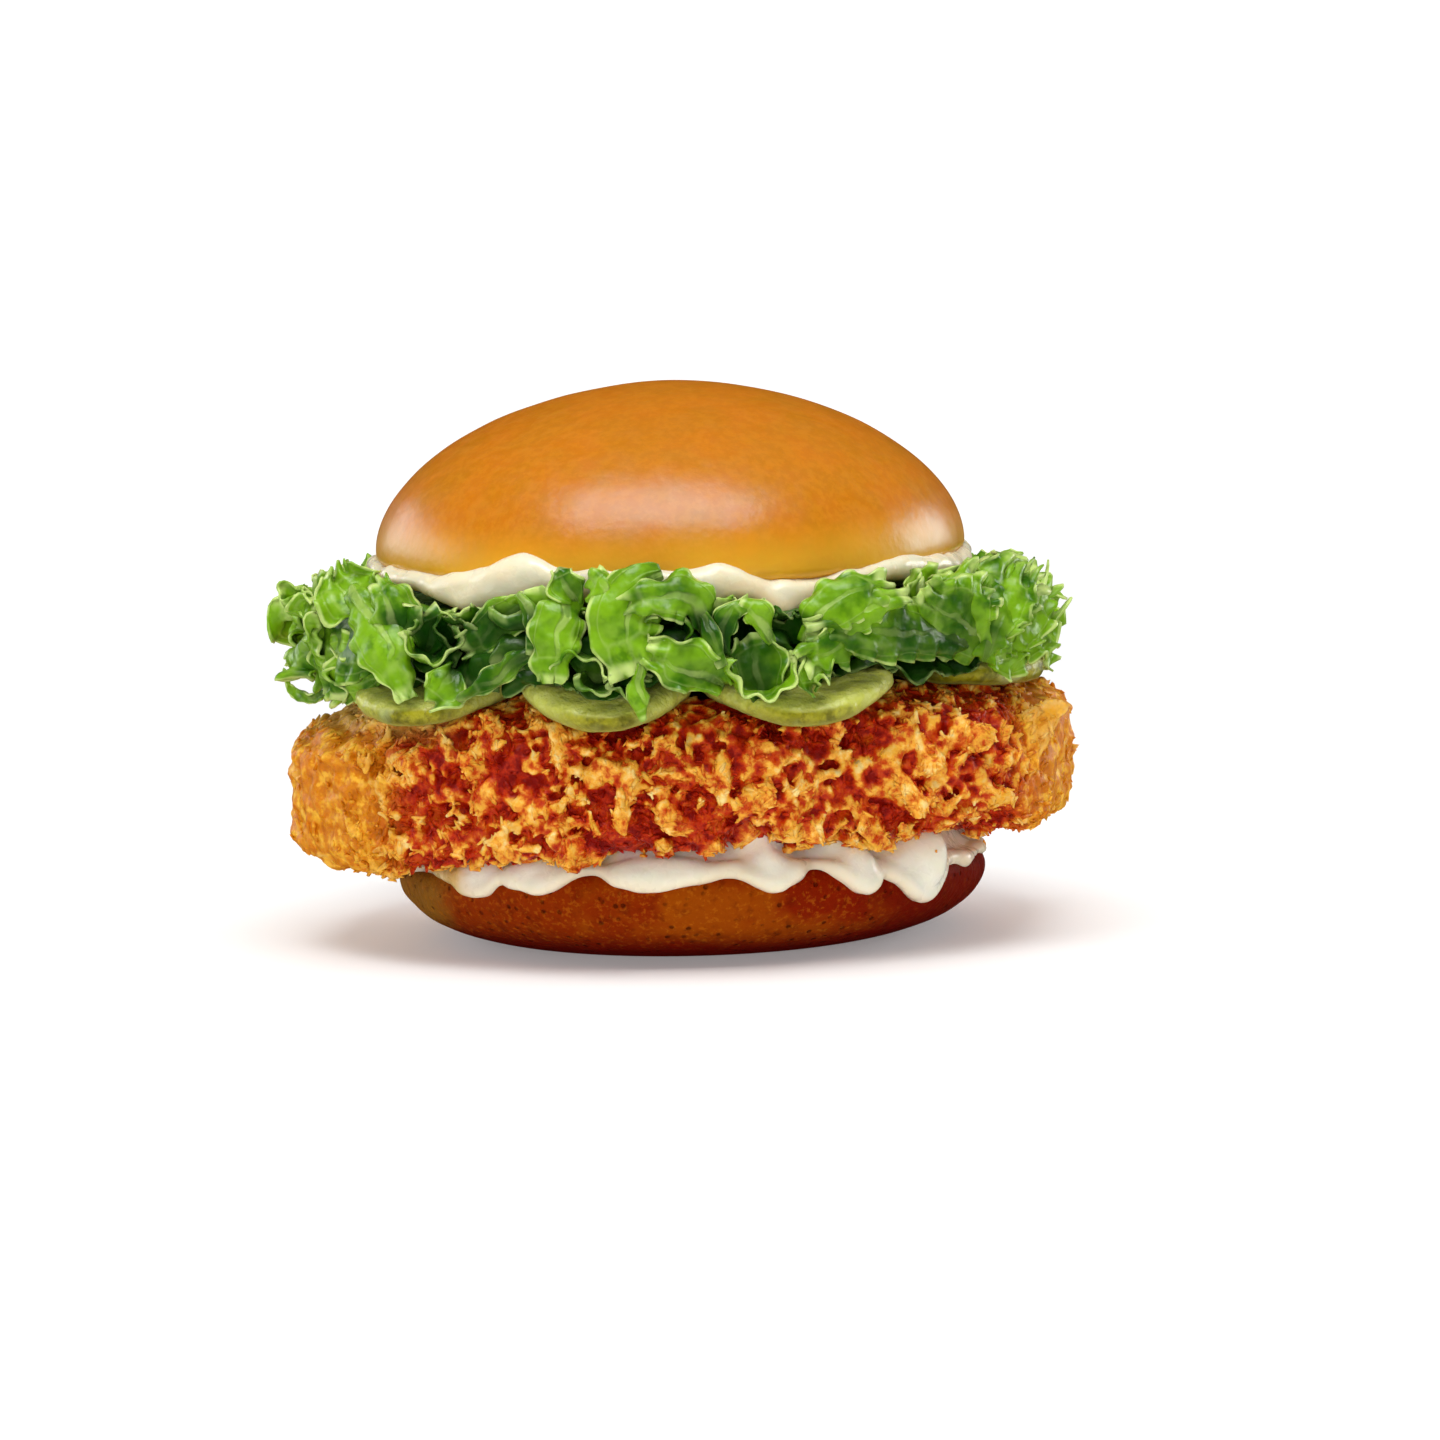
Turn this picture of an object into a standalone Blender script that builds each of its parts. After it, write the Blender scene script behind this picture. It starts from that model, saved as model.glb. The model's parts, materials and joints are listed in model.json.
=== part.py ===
"""Crispy chicken burger, built as its separate pieces: heel and crown of the bun, two sauces,
a crumbed fillet, pickle slices and lettuce leaves. Metres, +Z up, the front faces -Y."""

import math

import bmesh
import bpy
from mathutils import Vector, noise

MM = 0.001
GAP = 0.35 * MM  # clearance that touching pieces keep

# Bun
CROWN_RADIUS = 49 * MM
CROWN_CENTRE_X = 0.4 * MM
CROWN_CUT_RADIUS = 46.6 * MM
CROWN_WIDEST = 2 * MM  # height of the widest ring above the cut face
CROWN_HEIGHT = 29.3 * MM
CROWN_DOME_POWER = 1.86  # 2 is an ellipse; less is steeper at the shoulder
CROWN_CUT_Z = 63.2 * MM
CROWN_TILT = math.radians(2)  # the crown sits a little lower in front
HEEL_RADIUS = 49 * MM
HEEL_CENTRE_X = 3 * MM
HEEL_BASE_RADIUS = 28 * MM
HEEL_CUT_RADIUS = 47.6 * MM
HEEL_WIDEST = 12 * MM
HEEL_HEIGHT = 14.5 * MM
HEEL_SADDLE = 1.8 * MM  # the overhanging fillet presses the rim down at the left and right
BUN_STEPS = 44
BUN_WAVES = ((2, 0.008, 0.4), (3, 0.004, 3.6))  # count round the bun, share of the radius, phase

# Fillet
FILLET_CENTRE = Vector((1.7 * MM, -1 * MM, 0))
FILLET_HALF_WIDTH = 66 * MM
FILLET_HALF_DEPTH = 53 * MM
FILLET_PLAN_POWER = 2.3
FILLET_SECTION_POWER = 4.5
FILLET_HALF_THICKNESS = 12.7 * MM
FILLET_MIDDLE_Z = 31.2 * MM
FILLET_WAVES = ((3, 0.020, 0.1), (5, 0.016, 3.2), (8, 0.012, 0.0))
FILLET_SAG = 2.6 * MM  # how far both ends of the underside bend down
FILLET_TOP_SAG = 1.0 * MM
FILLET_DROOPS = (  # where the edge hangs down outside the bun: degrees, width, depth
    (-150, 45, 4.2 * MM), (170, 35, 1.0 * MM), (-40, 30, 0.8 * MM), (100, 50, 1.6 * MM),
)
FILLET_TOP_DROOP = 0.24  # share of the underside's droop that the top follows
FILLET_DROOP_FROM = 46 * MM  # distance from the heel's middle at which the edge starts to hang
FILLET_DROOP_LENGTH = 12 * MM
LUMP_SIZES = ((15 * MM, 2.6 * MM), (7 * MM, 1.3 * MM))  # width and depth of the crust's lumps
LUMP_ROOM = 1.6 * MM  # what the lumps may stand out near the top and bottom edges
FILLET_SEGMENTS = 68
FILLET_RINGS = 13

# Pickles: centre x, centre y, radius, and how much higher the right edge lies than the middle
PICKLES = {
    "pickle_front_left": (-36.6 * MM, -29 * MM, 14.7 * MM, 1.7 * MM),
    "pickle_front_middle": (-10.6 * MM, -42.4 * MM, 14.2 * MM, -1.4 * MM),
    "pickle_front_right": (19.8 * MM, -40.2 * MM, 16 * MM, 0.7 * MM),
    "pickle_right": (45.6 * MM, -14 * MM, 15.8 * MM, -1.1 * MM),
    "pickle_back_right": (32 * MM, 25.6 * MM, 15.6 * MM, -0.8 * MM),
    "pickle_back_middle": (-1 * MM, 34 * MM, 16 * MM, 0.4 * MM),
    "pickle_back_left": (-34 * MM, 23 * MM, 15.8 * MM, 0.8 * MM),
}
PICKLE_THICKNESS = 4.2 * MM
PICKLE_STEEPEST = 0.94  # share of the fillet's radius past which a slice hangs straight
PICKLE_SOFTNESS = 1 * MM  # how gently a slice passes from its own bend to where the fillet bears it
PICKLE_SEGMENTS = 18

# Lettuce: where each leaf starts and ends round the burger, in degrees from +X
LEAVES = {
    "lettuce_right": (-70, 16),
    "lettuce_back_right": (16, 88),
    "lettuce_back_left": (88, 158),
    "lettuce_left": (158, 248),
    "lettuce_front": (248, 290),
}
LEAF_UNDER_Z = 49.8 * MM
LEAF_TOP_Z = 58.6 * MM
LEAF_INNER_RADIUS = 5 * MM
LEAF_SHELF_RADIUS = 46 * MM  # the flat top under the sauce ends here
LEAF_TROUGH_Z = 52.5 * MM
LEAF_HALF_WIDTH = 63.6 * MM
LEAF_SHIFT = 0.9 * MM  # the left leaf reaches further out than the right one
LEAF_HALF_DEPTH = 59 * MM
LEAF_LIP_Z = 61.8 * MM
LEAF_HEM_Z = 47.4 * MM
LEAF_FOLDS = 13  # wide folds round the burger
LEAF_FOLD_DEPTH = 2.6 * MM
LEAF_CRIMPS = 31  # finer crimps on the folds
LEAF_CRIMP_DEPTH = 1.2 * MM
LEAF_STEP_DEGREES = 3.8

# Sauces: drips as angle in degrees, width in degrees, depth
SAUCE_SEGMENTS = 50
SAUCE_WALL = 1.9 * MM
SAUCE_LEAST_HANG = 0.3 * MM
LOWER_SAUCE_TOP = 4.2 * MM  # most that the lower sauce rises above the heel
LOWER_SAUCE_BULGE = 1.0 * MM
LOWER_SAUCE_REACH = 1.2 * MM
LOWER_DRIPS = (
    (-134, 7, 3.0 * MM), (-120, 8, 1.9 * MM), (-97, 10, 2.2 * MM), (-71, 7, 1.0 * MM),
    (-55, 6, 2.0 * MM), (-37, 8, 3.8 * MM), (-4, 8, 1.2 * MM), (34, 9, 2.6 * MM),
    (66, 7, 1.1 * MM), (98, 10, 2.4 * MM), (128, 7, 1.5 * MM), (160, 9, 2.6 * MM),
)
LOWER_CRESTS = ((-76, 8, 3.4 * MM), (-100, 9, 0.8 * MM), (84, 9, 2.4 * MM))
LOWER_RETREAT = ((178, 20, 1.0),)  # where the sauce stops short of the heel's edge
LOWER_RETREAT_DEPTH = 4.5 * MM
UPPER_SAUCE_RADIUS = 46.5 * MM
UPPER_SAUCE_BULGE = 1.6 * MM
UPPER_DRIPS = (
    (-152, 9, 2.4 * MM), (-126, 7, 3.6 * MM), (-106, 8, 2.0 * MM), (-86, 8, 2.4 * MM),
    (-66, 9, 3.8 * MM), (-46, 8, 2.2 * MM), (-18, 9, 3.2 * MM), (14, 8, 2.0 * MM),
    (44, 10, 3.6 * MM), (74, 8, 2.2 * MM), (104, 9, 3.8 * MM), (140, 9, 2.6 * MM),
)
UPPER_CRESTS = (
    (-168, 10, 1.6 * MM), (-140, 8, 2.2 * MM), (-117, 8, 4.6 * MM), (-78, 8, 3.4 * MM), (-32, 9, 2.2 * MM),
    (0, 9, 1.2 * MM), (30, 8, 3.0 * MM), (62, 9, 1.2 * MM), (92, 9, 3.4 * MM), (126, 9, 1.8 * MM),
)

# Linear base colours, roughness
LOOKS = {
    "crown_crust": ((0.66, 0.23, 0.012), 0.35),
    "heel_crust": ((0.23, 0.045, 0.006), 0.55),
    "sauce": ((0.72, 0.60, 0.36), 0.30),
    "fried_crumb": ((0.52, 0.15, 0.02), 0.60),
    "pickle": ((0.22, 0.24, 0.03), 0.30),
    "lettuce": ((0.13, 0.30, 0.025), 0.40),
}


def material(name):
    """The named Principled material, made once."""
    found = bpy.data.materials.get(name)
    if found:
        return found
    colour, roughness = LOOKS[name]
    made = bpy.data.materials.new(name)
    made.use_nodes = True
    shader = made.node_tree.nodes["Principled BSDF"]
    shader.inputs["Base Color"].default_value = (*colour, 1)
    shader.inputs["Roughness"].default_value = roughness
    shader.inputs["Metallic"].default_value = 0.0
    return made


def finished(name, bm, look, parent, location=(0, 0, 0)):
    """Turns a bmesh into a smooth-shaded object with its material, under the burger's empty."""
    bmesh.ops.recalc_face_normals(bm, faces=bm.faces)
    mesh = bpy.data.meshes.new(name)
    bm.to_mesh(mesh)
    bm.free()
    mesh.materials.append(material(look))
    mesh.shade_smooth()
    mesh.set_sharp_from_angle(angle=math.radians(50))
    made = bpy.data.objects.new(name, mesh)
    bpy.context.scene.collection.objects.link(made)
    made.location = location
    made.parent = parent
    return made


def wave(angle, waves):
    """A factor round 1 that the waves, each (count, size, phase), give at an angle."""
    return 1 + sum(size * math.sin(count * angle + phase) for count, size, phase in waves)


def bumps(angle, places):
    """The sum at an angle in radians of round bumps, each (centre and width in degrees, size)."""
    total = 0.0
    for centre, width, size in places:
        away = (math.degrees(angle) - centre + 180) % 360 - 180
        total += size * math.exp(-((away / width) ** 2))
    return total


def smoothstep(value):
    value = min(1.0, max(0.0, value))
    return value * value * (3 - 2 * value)


def turn(angle):
    """The level unit vector at an angle from +X."""
    return Vector((math.cos(angle), math.sin(angle), 0))


def skinned(bm, rings, closed):
    """Quads between rows of points; each row closes on itself when closed is set."""
    rows = [[bm.verts.new(point) for point in ring] for ring in rings]
    for lower, upper in zip(rows, rows[1:]):
        count = len(lower)
        for i in range(count if closed else count - 1):
            j = (i + 1) % count
            bm.faces.new((lower[i], lower[j], upper[j], upper[i]))
    return rows


def fan(bm, row, tip):
    """Closes a round row of points with triangles to one tip."""
    apex = bm.verts.new(tip)
    for i, vert in enumerate(row):
        bm.faces.new((vert, row[(i + 1) % len(row)], apex))


# ---- bun


def crown_profile():
    """Radius and height from the cut face's centre, round the rolled edge and up to the top."""
    points = [(0, 0), (CROWN_CUT_RADIUS * 0.55, 0)]
    roll = CROWN_RADIUS - CROWN_CUT_RADIUS
    for step in range(3):
        angle = math.radians(30 * step)
        points.append((CROWN_CUT_RADIUS + roll * math.sin(angle), CROWN_WIDEST * (1 - math.cos(angle))))
    dome = CROWN_HEIGHT - CROWN_WIDEST
    power = 2 / CROWN_DOME_POWER
    for step in range(10):
        angle = math.radians(9 * step)
        points.append((CROWN_RADIUS * math.cos(angle) ** power, CROWN_WIDEST + dome * math.sin(angle) ** power))
    return points + [(0, CROWN_HEIGHT)]


def heel_profile():
    """Radius and height from the base's centre, up the rounded side to the cut face's centre."""
    points = [(0, 0)]
    spread = HEEL_RADIUS - HEEL_BASE_RADIUS
    for step in range(7):
        angle = math.radians(90 - 15 * step)
        points.append((HEEL_BASE_RADIUS + spread * math.cos(angle), HEEL_WIDEST * (1 - math.sin(angle))))
    rim = HEEL_HEIGHT - HEEL_WIDEST
    lean = HEEL_RADIUS - HEEL_CUT_RADIUS
    for step in (1, 2):
        angle = math.radians(45 * step)
        points.append((HEEL_CUT_RADIUS + lean * math.cos(angle), HEEL_WIDEST + rim * math.sin(angle)))
    return points + [(HEEL_CUT_RADIUS * 0.5, HEEL_HEIGHT), (0, HEEL_HEIGHT)]


def saddle(x, y):
    """The factor that the heel's heights take at a place measured from its middle."""
    return 1 + HEEL_SADDLE / HEEL_HEIGHT * (y * y - x * x) / HEEL_RADIUS**2


def turned_bun(name, profile, look, parent, location, height_factor=lambda x, y: 1.0):
    """Spins a profile into a round piece, then makes it as slightly off-round as baked dough."""
    bm = bmesh.new()
    verts = [bm.verts.new((radius, 0, height)) for radius, height in profile]
    edges = [bm.edges.new(pair) for pair in zip(verts, verts[1:])]
    bmesh.ops.spin(
        bm, geom=verts + edges, axis=(0, 0, 1), cent=(0, 0, 0), angle=math.tau, steps=BUN_STEPS, use_merge=True
    )
    bmesh.ops.remove_doubles(bm, verts=bm.verts, dist=0.01 * MM)
    for vert in bm.verts:
        factor = wave(math.atan2(vert.co.y, vert.co.x), BUN_WAVES)
        vert.co.x *= factor
        vert.co.y *= factor
        vert.co.z *= height_factor(vert.co.x, vert.co.y)
    return finished(name, bm, look, parent, location)


# ---- fillet


def fillet_radius(angle):
    """Distance from the fillet's centre to its outline in plan."""
    across = abs(math.cos(angle) / FILLET_HALF_WIDTH) ** FILLET_PLAN_POWER
    along = abs(math.sin(angle) / FILLET_HALF_DEPTH) ** FILLET_PLAN_POWER
    return (across + along) ** (-1 / FILLET_PLAN_POWER) * wave(angle, FILLET_WAVES)


def fillet_height(x, y, lift):
    """Height of the fillet at a lift from -1 (underside) to 1 (top). Both ends bend down, and
    the edge outside the bun hangs lower, the underside more than the top."""
    most_sag = FILLET_SAG + (FILLET_TOP_SAG - FILLET_SAG) * (lift + 1) / 2
    sag = most_sag * (x / FILLET_HALF_WIDTH) ** 2
    outside = math.hypot(x - HEEL_CENTRE_X, y) - FILLET_DROOP_FROM
    droop = bumps(math.atan2(y, x), FILLET_DROOPS) * smoothstep(outside / FILLET_DROOP_LENGTH)
    droop *= 1 - (1 - FILLET_TOP_DROOP) * (lift + 1) / 2
    return FILLET_MIDDLE_Z + lift * FILLET_HALF_THICKNESS - sag - droop


def fillet_lumps(point):
    """How far the crust stands out at a point, in lumps of two sizes."""
    return sum(depth * noise.noise(point / width) for width, depth in LUMP_SIZES)


def fillet_face(x, y, side, most=0.985):
    """Height of the smooth fillet's top (side 1) or underside (side -1), with room for its lumps."""
    from_centre = Vector((x, y, 0)) - FILLET_CENTRE
    reach = fillet_radius(math.atan2(from_centre.y, from_centre.x)) + LUMP_ROOM
    share = min(most, from_centre.length / reach)
    height = (1 - share**FILLET_SECTION_POWER) ** (1 / FILLET_SECTION_POWER)
    return fillet_height(x, y, side * height)


def fillet(parent):
    bm = bmesh.new()
    rings = []
    for row in range(1, FILLET_RINGS):
        slope = math.pi * row / FILLET_RINGS
        share = math.sin(slope) ** (2 / FILLET_SECTION_POWER)
        lift = math.copysign(abs(math.cos(slope)) ** (2 / FILLET_SECTION_POWER), -math.cos(slope))
        ring = []
        for step in range(FILLET_SEGMENTS):
            angle = math.tau * step / FILLET_SEGMENTS
            point = FILLET_CENTRE + turn(angle) * fillet_radius(angle) * share
            point.z = fillet_height(point.x, point.y, lift)
            edge = share**4 * (1 - lift**4)
            ring.append(point + turn(angle) * fillet_lumps(point) * edge)
        rings.append(ring)
    rows = skinned(bm, rings, closed=True)
    for row, side in ((rows[0], -1), (rows[-1], 1)):
        fan(bm, row, FILLET_CENTRE + Vector((0, 0, fillet_height(FILLET_CENTRE.x, FILLET_CENTRE.y, side))))
    return finished("fillet", bm, "fried_crumb", parent)


# ---- pickles


def draped(x, y):
    """The fillet's height, and past its steep edge the height of a straight line down from there."""
    from_centre = Vector((x, y, 0)) - FILLET_CENTRE
    angle = math.atan2(from_centre.y, from_centre.x)
    steepest = (fillet_radius(angle) + LUMP_ROOM) * PICKLE_STEEPEST
    if from_centre.length <= steepest:
        return fillet_face(x, y, 1)
    edge = FILLET_CENTRE + turn(angle) * steepest
    before = FILLET_CENTRE + turn(angle) * (steepest - 0.5 * MM)
    slope = (fillet_face(edge.x, edge.y, 1) - fillet_face(before.x, before.y, 1)) / (0.5 * MM)
    return fillet_face(edge.x, edge.y, 1) + slope * (from_centre.length - steepest)


def pickle_seat(place, x, y):
    """The point where a slice lies. It bends one way only, over the fillet's front or back edge,
    and is lifted where the fillet stands higher than that bend."""
    centre_x, _, radius, rise = place
    bent = draped(centre_x, y) + rise * (x - centre_x) / radius
    fillet_z = draped(x, y)
    height = (bent + fillet_z + math.hypot(bent - fillet_z, PICKLE_SOFTNESS)) / 2
    return Vector((x, y, height))


def pickle_point(place, x, y, share):
    """A point of a slice above (x, y), at a share of its thickness, measured square to its seat."""
    step = 0.5 * MM
    across = pickle_seat(place, x + step, y) - pickle_seat(place, x - step, y)
    along = pickle_seat(place, x, y + step) - pickle_seat(place, x, y - step)
    return pickle_seat(place, x, y) + across.cross(along).normalized() * (GAP + PICKLE_THICKNESS * share)


def pickle(name, place, parent):
    """A round slice with a soft edge that lies on the fillet."""
    x, y, radius, _ = place
    bm = bmesh.new()
    section = [(0.55, -1.0), (0.9, -1.0), (1.0, -0.55), (1.0, 0.55), (0.9, 1.0), (0.55, 1.0)]
    rings = []
    for share, lift in section:
        ring = []
        for step in range(PICKLE_SEGMENTS):
            outward = turn(math.tau * step / PICKLE_SEGMENTS) * radius * share
            ring.append(pickle_point(place, x + outward.x, y + outward.y, (1 + lift) / 2))
        rings.append(ring)
    rows = skinned(bm, rings, closed=True)
    fan(bm, rows[0], pickle_point(place, x, y, 0))
    fan(bm, rows[-1], pickle_point(place, x, y, 1))
    return finished(name, bm, "pickle", parent)


# ---- lettuce


def leaf_radius(angle):
    """Distance from the middle to the lettuce's edge, before its folds."""
    round_edge = 1 / math.hypot(math.cos(angle) / LEAF_HALF_WIDTH, math.sin(angle) / LEAF_HALF_DEPTH)
    return round_edge - LEAF_SHIFT * math.cos(angle)


def leaf_section(angle):
    """The outline of a leaf in a plane through the middle, as radius and height, with its folds and crimps."""
    fold = math.sin(LEAF_FOLDS * angle + 1.7 * math.sin(2 * angle + 0.5) + 1.1 * math.sin(5 * angle))
    crimp = math.sin(LEAF_CRIMPS * angle + 1.4 * math.sin(4 * angle + 1.0))
    edge = leaf_radius(angle) + LEAF_FOLD_DEPTH * fold + LEAF_CRIMP_DEPTH * crimp
    ends = math.cos(angle) ** 2
    left = max(0.0, -math.cos(angle)) ** 2  # the left leaf hangs lower
    lip = LEAF_LIP_Z + 1.6 * MM * math.sin(LEAF_FOLDS * angle + 0.9) + 0.9 * MM * crimp + 0.6 * MM * ends
    hem = LEAF_HEM_Z - 1.5 * MM * fold - 0.8 * MM * crimp - 1.6 * MM * left
    return [
        (LEAF_INNER_RADIUS, LEAF_UNDER_Z),
        (LEAF_SHELF_RADIUS, LEAF_UNDER_Z),
        (edge * 0.92, LEAF_UNDER_Z - 0.3 * MM),
        (edge * 0.98, hem),
        (edge + 0.8 * MM * fold, hem + 4.5 * MM),
        (edge + 1.3 * MM * crimp, lip - 5 * MM),
        (edge * 0.99, lip),
        (edge * 0.955, lip - 1.2 * MM),
        (leaf_radius(angle) * 0.915 + 0.4 * MM * fold, LEAF_TROUGH_Z + 2.4 * MM),
        (LEAF_SHELF_RADIUS + 3.6 * MM, LEAF_TROUGH_Z),
        (LEAF_SHELF_RADIUS + 0.5 * MM, LEAF_TROUGH_Z + 1.2 * MM),
        (LEAF_SHELF_RADIUS - 0.6 * MM, LEAF_TOP_Z),
        (LEAF_INNER_RADIUS, LEAF_TOP_Z),
    ]


def leaf(name, start, end, parent):
    """One leaf: its section carried round from start to end, both in degrees, and closed at the ends."""
    count = round((end - start) / LEAF_STEP_DEGREES)
    rings = []
    for step in range(count + 1):
        angle = math.radians(start + (end - start) * step / count)
        aside = turn(angle + math.pi / 2) * GAP * ((step == 0) - (step == count))
        rings.append([turn(angle) * radius + aside + Vector((0, 0, height)) for radius, height in leaf_section(angle)])
    bm = bmesh.new()
    rows = skinned(bm, rings, closed=True)
    for row in (rows[0], rows[-1]):
        bm.faces.new(row)
    bmesh.ops.triangulate(bm, faces=[face for face in bm.faces if len(face.verts) > 4])
    return finished(name, bm, "lettuce", parent)


# ---- sauces


def sauce(name, centre_x, wall_at, clear_at, under_at, top_at, bulge, drips, crests, parent, retreat=()):
    """A spread between two pieces. It hangs down in drips outside the lower one's wall, and
    its crests stand up past the radius that is clear of the upper one. Where it retreats,
    it ends inside the wall and hangs nowhere."""
    centre = Vector((centre_x, 0, 0))

    def point(angle, radius, height=None):
        """A point of the spread, never above what lies on it; without a height, on that ceiling."""
        place = centre + turn(angle) * radius
        ceiling = top_at(place.x, place.y)
        place.z = ceiling if height is None else min(height, ceiling)
        return place

    columns = []
    for step in range(SAUCE_SEGMENTS):
        angle = math.tau * step / SAUCE_SEGMENTS
        inside = bumps(angle, retreat)
        outside = 1 - smoothstep(inside * 3)
        wall, clear = (at(angle) - inside * LOWER_RETREAT_DEPTH for at in (wall_at, clear_at))
        drop = (SAUCE_LEAST_HANG + bumps(angle, drips)) * outside
        crest = bumps(angle, crests)
        rim = centre + turn(angle) * (wall - 1 * MM)
        under, top = under_at(rim.x, rim.y), top_at(rim.x, rim.y)
        swell = bulge * min(1.6, 0.6 + (drop + crest) / (4 * MM))
        outer = max(wall + SAUCE_WALL + swell, clear + 1.3 * MM)
        tip = wall + SAUCE_WALL * 0.55
        seat = centre + turn(angle) * wall * 0.5
        columns.append([
            Vector((seat.x, seat.y, under_at(seat.x, seat.y))),
            point(angle, wall - 0.6 * MM, under),
            point(angle, wall, under - drop),
            point(angle, tip, under - drop - SAUCE_WALL * 0.35 * outside),
            point(angle, outer - swell * 0.5, under - drop + SAUCE_WALL * 0.4),
            point(angle, outer, under + (top - under) * 0.35),
            point(angle, outer, top - 0.7 * MM + crest * 0.6),
            point(angle, outer - 0.7 * MM, top + crest),
            point(angle, clear, top + crest * 0.8 - 0.2 * MM),
            point(angle, clear, top - 0.4 * MM),
            point(angle, wall * 0.97),
            point(angle, wall * 0.8),
            point(angle, wall * 0.5),
        ])
    bm = bmesh.new()
    rows = skinned(bm, list(zip(*columns)), closed=True)
    fan(bm, rows[0], centre + Vector((0, 0, under_at(centre_x, 0))))
    fan(bm, rows[-1], point(0, 0))
    return finished(name, bm, "sauce", parent)


def heel_wall(angle):
    return HEEL_RADIUS * wave(angle, BUN_WAVES) + GAP


def heel_top(x, y):
    return HEEL_HEIGHT * saddle(x - HEEL_CENTRE_X, y) + GAP


def fillet_underside(x, y):
    return fillet_face(x, y, -1) - GAP * 1.5


def crown_edge(angle):
    return CROWN_RADIUS * wave(angle, BUN_WAVES) + GAP


def crown_underside(x, y):
    """The crown's level cut face, its rolled edge, and no limit outside it."""
    from_centre = Vector((x - CROWN_CENTRE_X, y))
    factor = wave(math.atan2(y, x - CROWN_CENTRE_X), BUN_WAVES)
    rolled = (from_centre.length / factor - CROWN_CUT_RADIUS) / (CROWN_RADIUS - CROWN_CUT_RADIUS)
    if rolled >= 1:
        return math.inf
    rise = CROWN_WIDEST * (1 - math.cos(math.asin(max(0.0, rolled))))
    return CROWN_CUT_Z + y * math.tan(CROWN_TILT) + rise - GAP


# ---- the whole


def centred(parent):
    """Moves the burger so that its box's middle stands over the origin."""
    bpy.context.view_layer.update()
    corners = [piece.matrix_world @ Vector(corner) for piece in parent.children for corner in piece.bound_box]
    for axis in (0, 1):
        values = [corner[axis] for corner in corners]
        parent.location[axis] = -(min(values) + max(values)) / 2


def main():
    for old in list(bpy.data.objects):
        bpy.data.objects.remove(old)
    burger = bpy.data.objects.new("burger", None)
    bpy.context.scene.collection.objects.link(burger)
    turned_bun("bun_heel", heel_profile(), "heel_crust", burger, (HEEL_CENTRE_X, 0, 0), saddle)
    sauce(
        "sauce_lower", HEEL_CENTRE_X, heel_wall, lambda angle: heel_wall(angle) + LOWER_SAUCE_REACH, heel_top,
        lambda x, y: min(fillet_underside(x, y), heel_top(x, y) + LOWER_SAUCE_TOP),
        LOWER_SAUCE_BULGE, LOWER_DRIPS, LOWER_CRESTS, burger, LOWER_RETREAT,
    )
    fillet(burger)
    for name, place in PICKLES.items():
        pickle(name, place, burger)
    for name, (start, end) in LEAVES.items():
        leaf(name, start, end, burger)
    sauce(
        "sauce_upper", CROWN_CENTRE_X, lambda angle: UPPER_SAUCE_RADIUS, crown_edge,
        lambda x, y: LEAF_TOP_Z + GAP, crown_underside, UPPER_SAUCE_BULGE, UPPER_DRIPS, UPPER_CRESTS, burger,
    )
    crown = turned_bun("bun_crown", crown_profile(), "crown_crust", burger, (CROWN_CENTRE_X, 0, CROWN_CUT_Z))
    crown.rotation_euler.x = CROWN_TILT
    centred(burger)


main()
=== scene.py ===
"""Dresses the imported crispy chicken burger: bun crust, sauces, fried coating, pickle slices,
frilled lettuce and crumbs, on a plain pale stage. Lengths are in metres unless a name says mm."""

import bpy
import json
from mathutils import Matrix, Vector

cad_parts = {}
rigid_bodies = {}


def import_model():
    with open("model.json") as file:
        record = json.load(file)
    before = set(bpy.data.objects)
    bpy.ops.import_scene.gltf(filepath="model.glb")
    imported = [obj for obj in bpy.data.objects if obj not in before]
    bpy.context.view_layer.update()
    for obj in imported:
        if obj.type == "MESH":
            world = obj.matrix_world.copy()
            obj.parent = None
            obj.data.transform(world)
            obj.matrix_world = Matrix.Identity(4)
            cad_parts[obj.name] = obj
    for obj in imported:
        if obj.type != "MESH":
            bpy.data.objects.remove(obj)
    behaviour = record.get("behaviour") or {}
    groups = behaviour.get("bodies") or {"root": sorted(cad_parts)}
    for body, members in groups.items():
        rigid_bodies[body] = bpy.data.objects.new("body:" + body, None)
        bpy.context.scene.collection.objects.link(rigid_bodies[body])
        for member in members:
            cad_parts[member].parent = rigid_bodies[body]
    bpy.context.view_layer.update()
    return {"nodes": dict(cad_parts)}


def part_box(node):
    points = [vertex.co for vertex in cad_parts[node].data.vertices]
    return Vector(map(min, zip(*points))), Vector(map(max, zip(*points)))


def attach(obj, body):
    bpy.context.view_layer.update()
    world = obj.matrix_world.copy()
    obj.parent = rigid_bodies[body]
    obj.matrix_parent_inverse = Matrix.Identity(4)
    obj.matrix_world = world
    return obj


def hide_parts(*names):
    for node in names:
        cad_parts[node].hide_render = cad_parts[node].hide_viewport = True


bl_info = {
    "name": "Crispy Chicken Burger",
    "version": (1, 0, 0),
    "blender": (4, 5, 0),
    "location": "3D View > Sidebar > Burger",
    "description": "Makes the finished surfaces of a crispy chicken burger round its packed solids",
    "category": "Add Mesh",
}

import itertools
import json
import math

import bmesh
import bpy
import numpy as np
from bpy.props import FloatProperty, FloatVectorProperty, IntProperty, PointerProperty
from mathutils import Matrix, Vector
from mathutils.bvhtree import BVHTree

MM = 0.001

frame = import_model()

CROWN_LOW, CROWN_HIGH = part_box("bun_crown")
HEEL_LOW, HEEL_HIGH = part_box("bun_heel")
LEAF_NODES = [name for name in frame["nodes"] if name.startswith("lettuce")]
PICKLE_NODES = [name for name in frame["nodes"] if name.startswith("pickle")]


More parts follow.
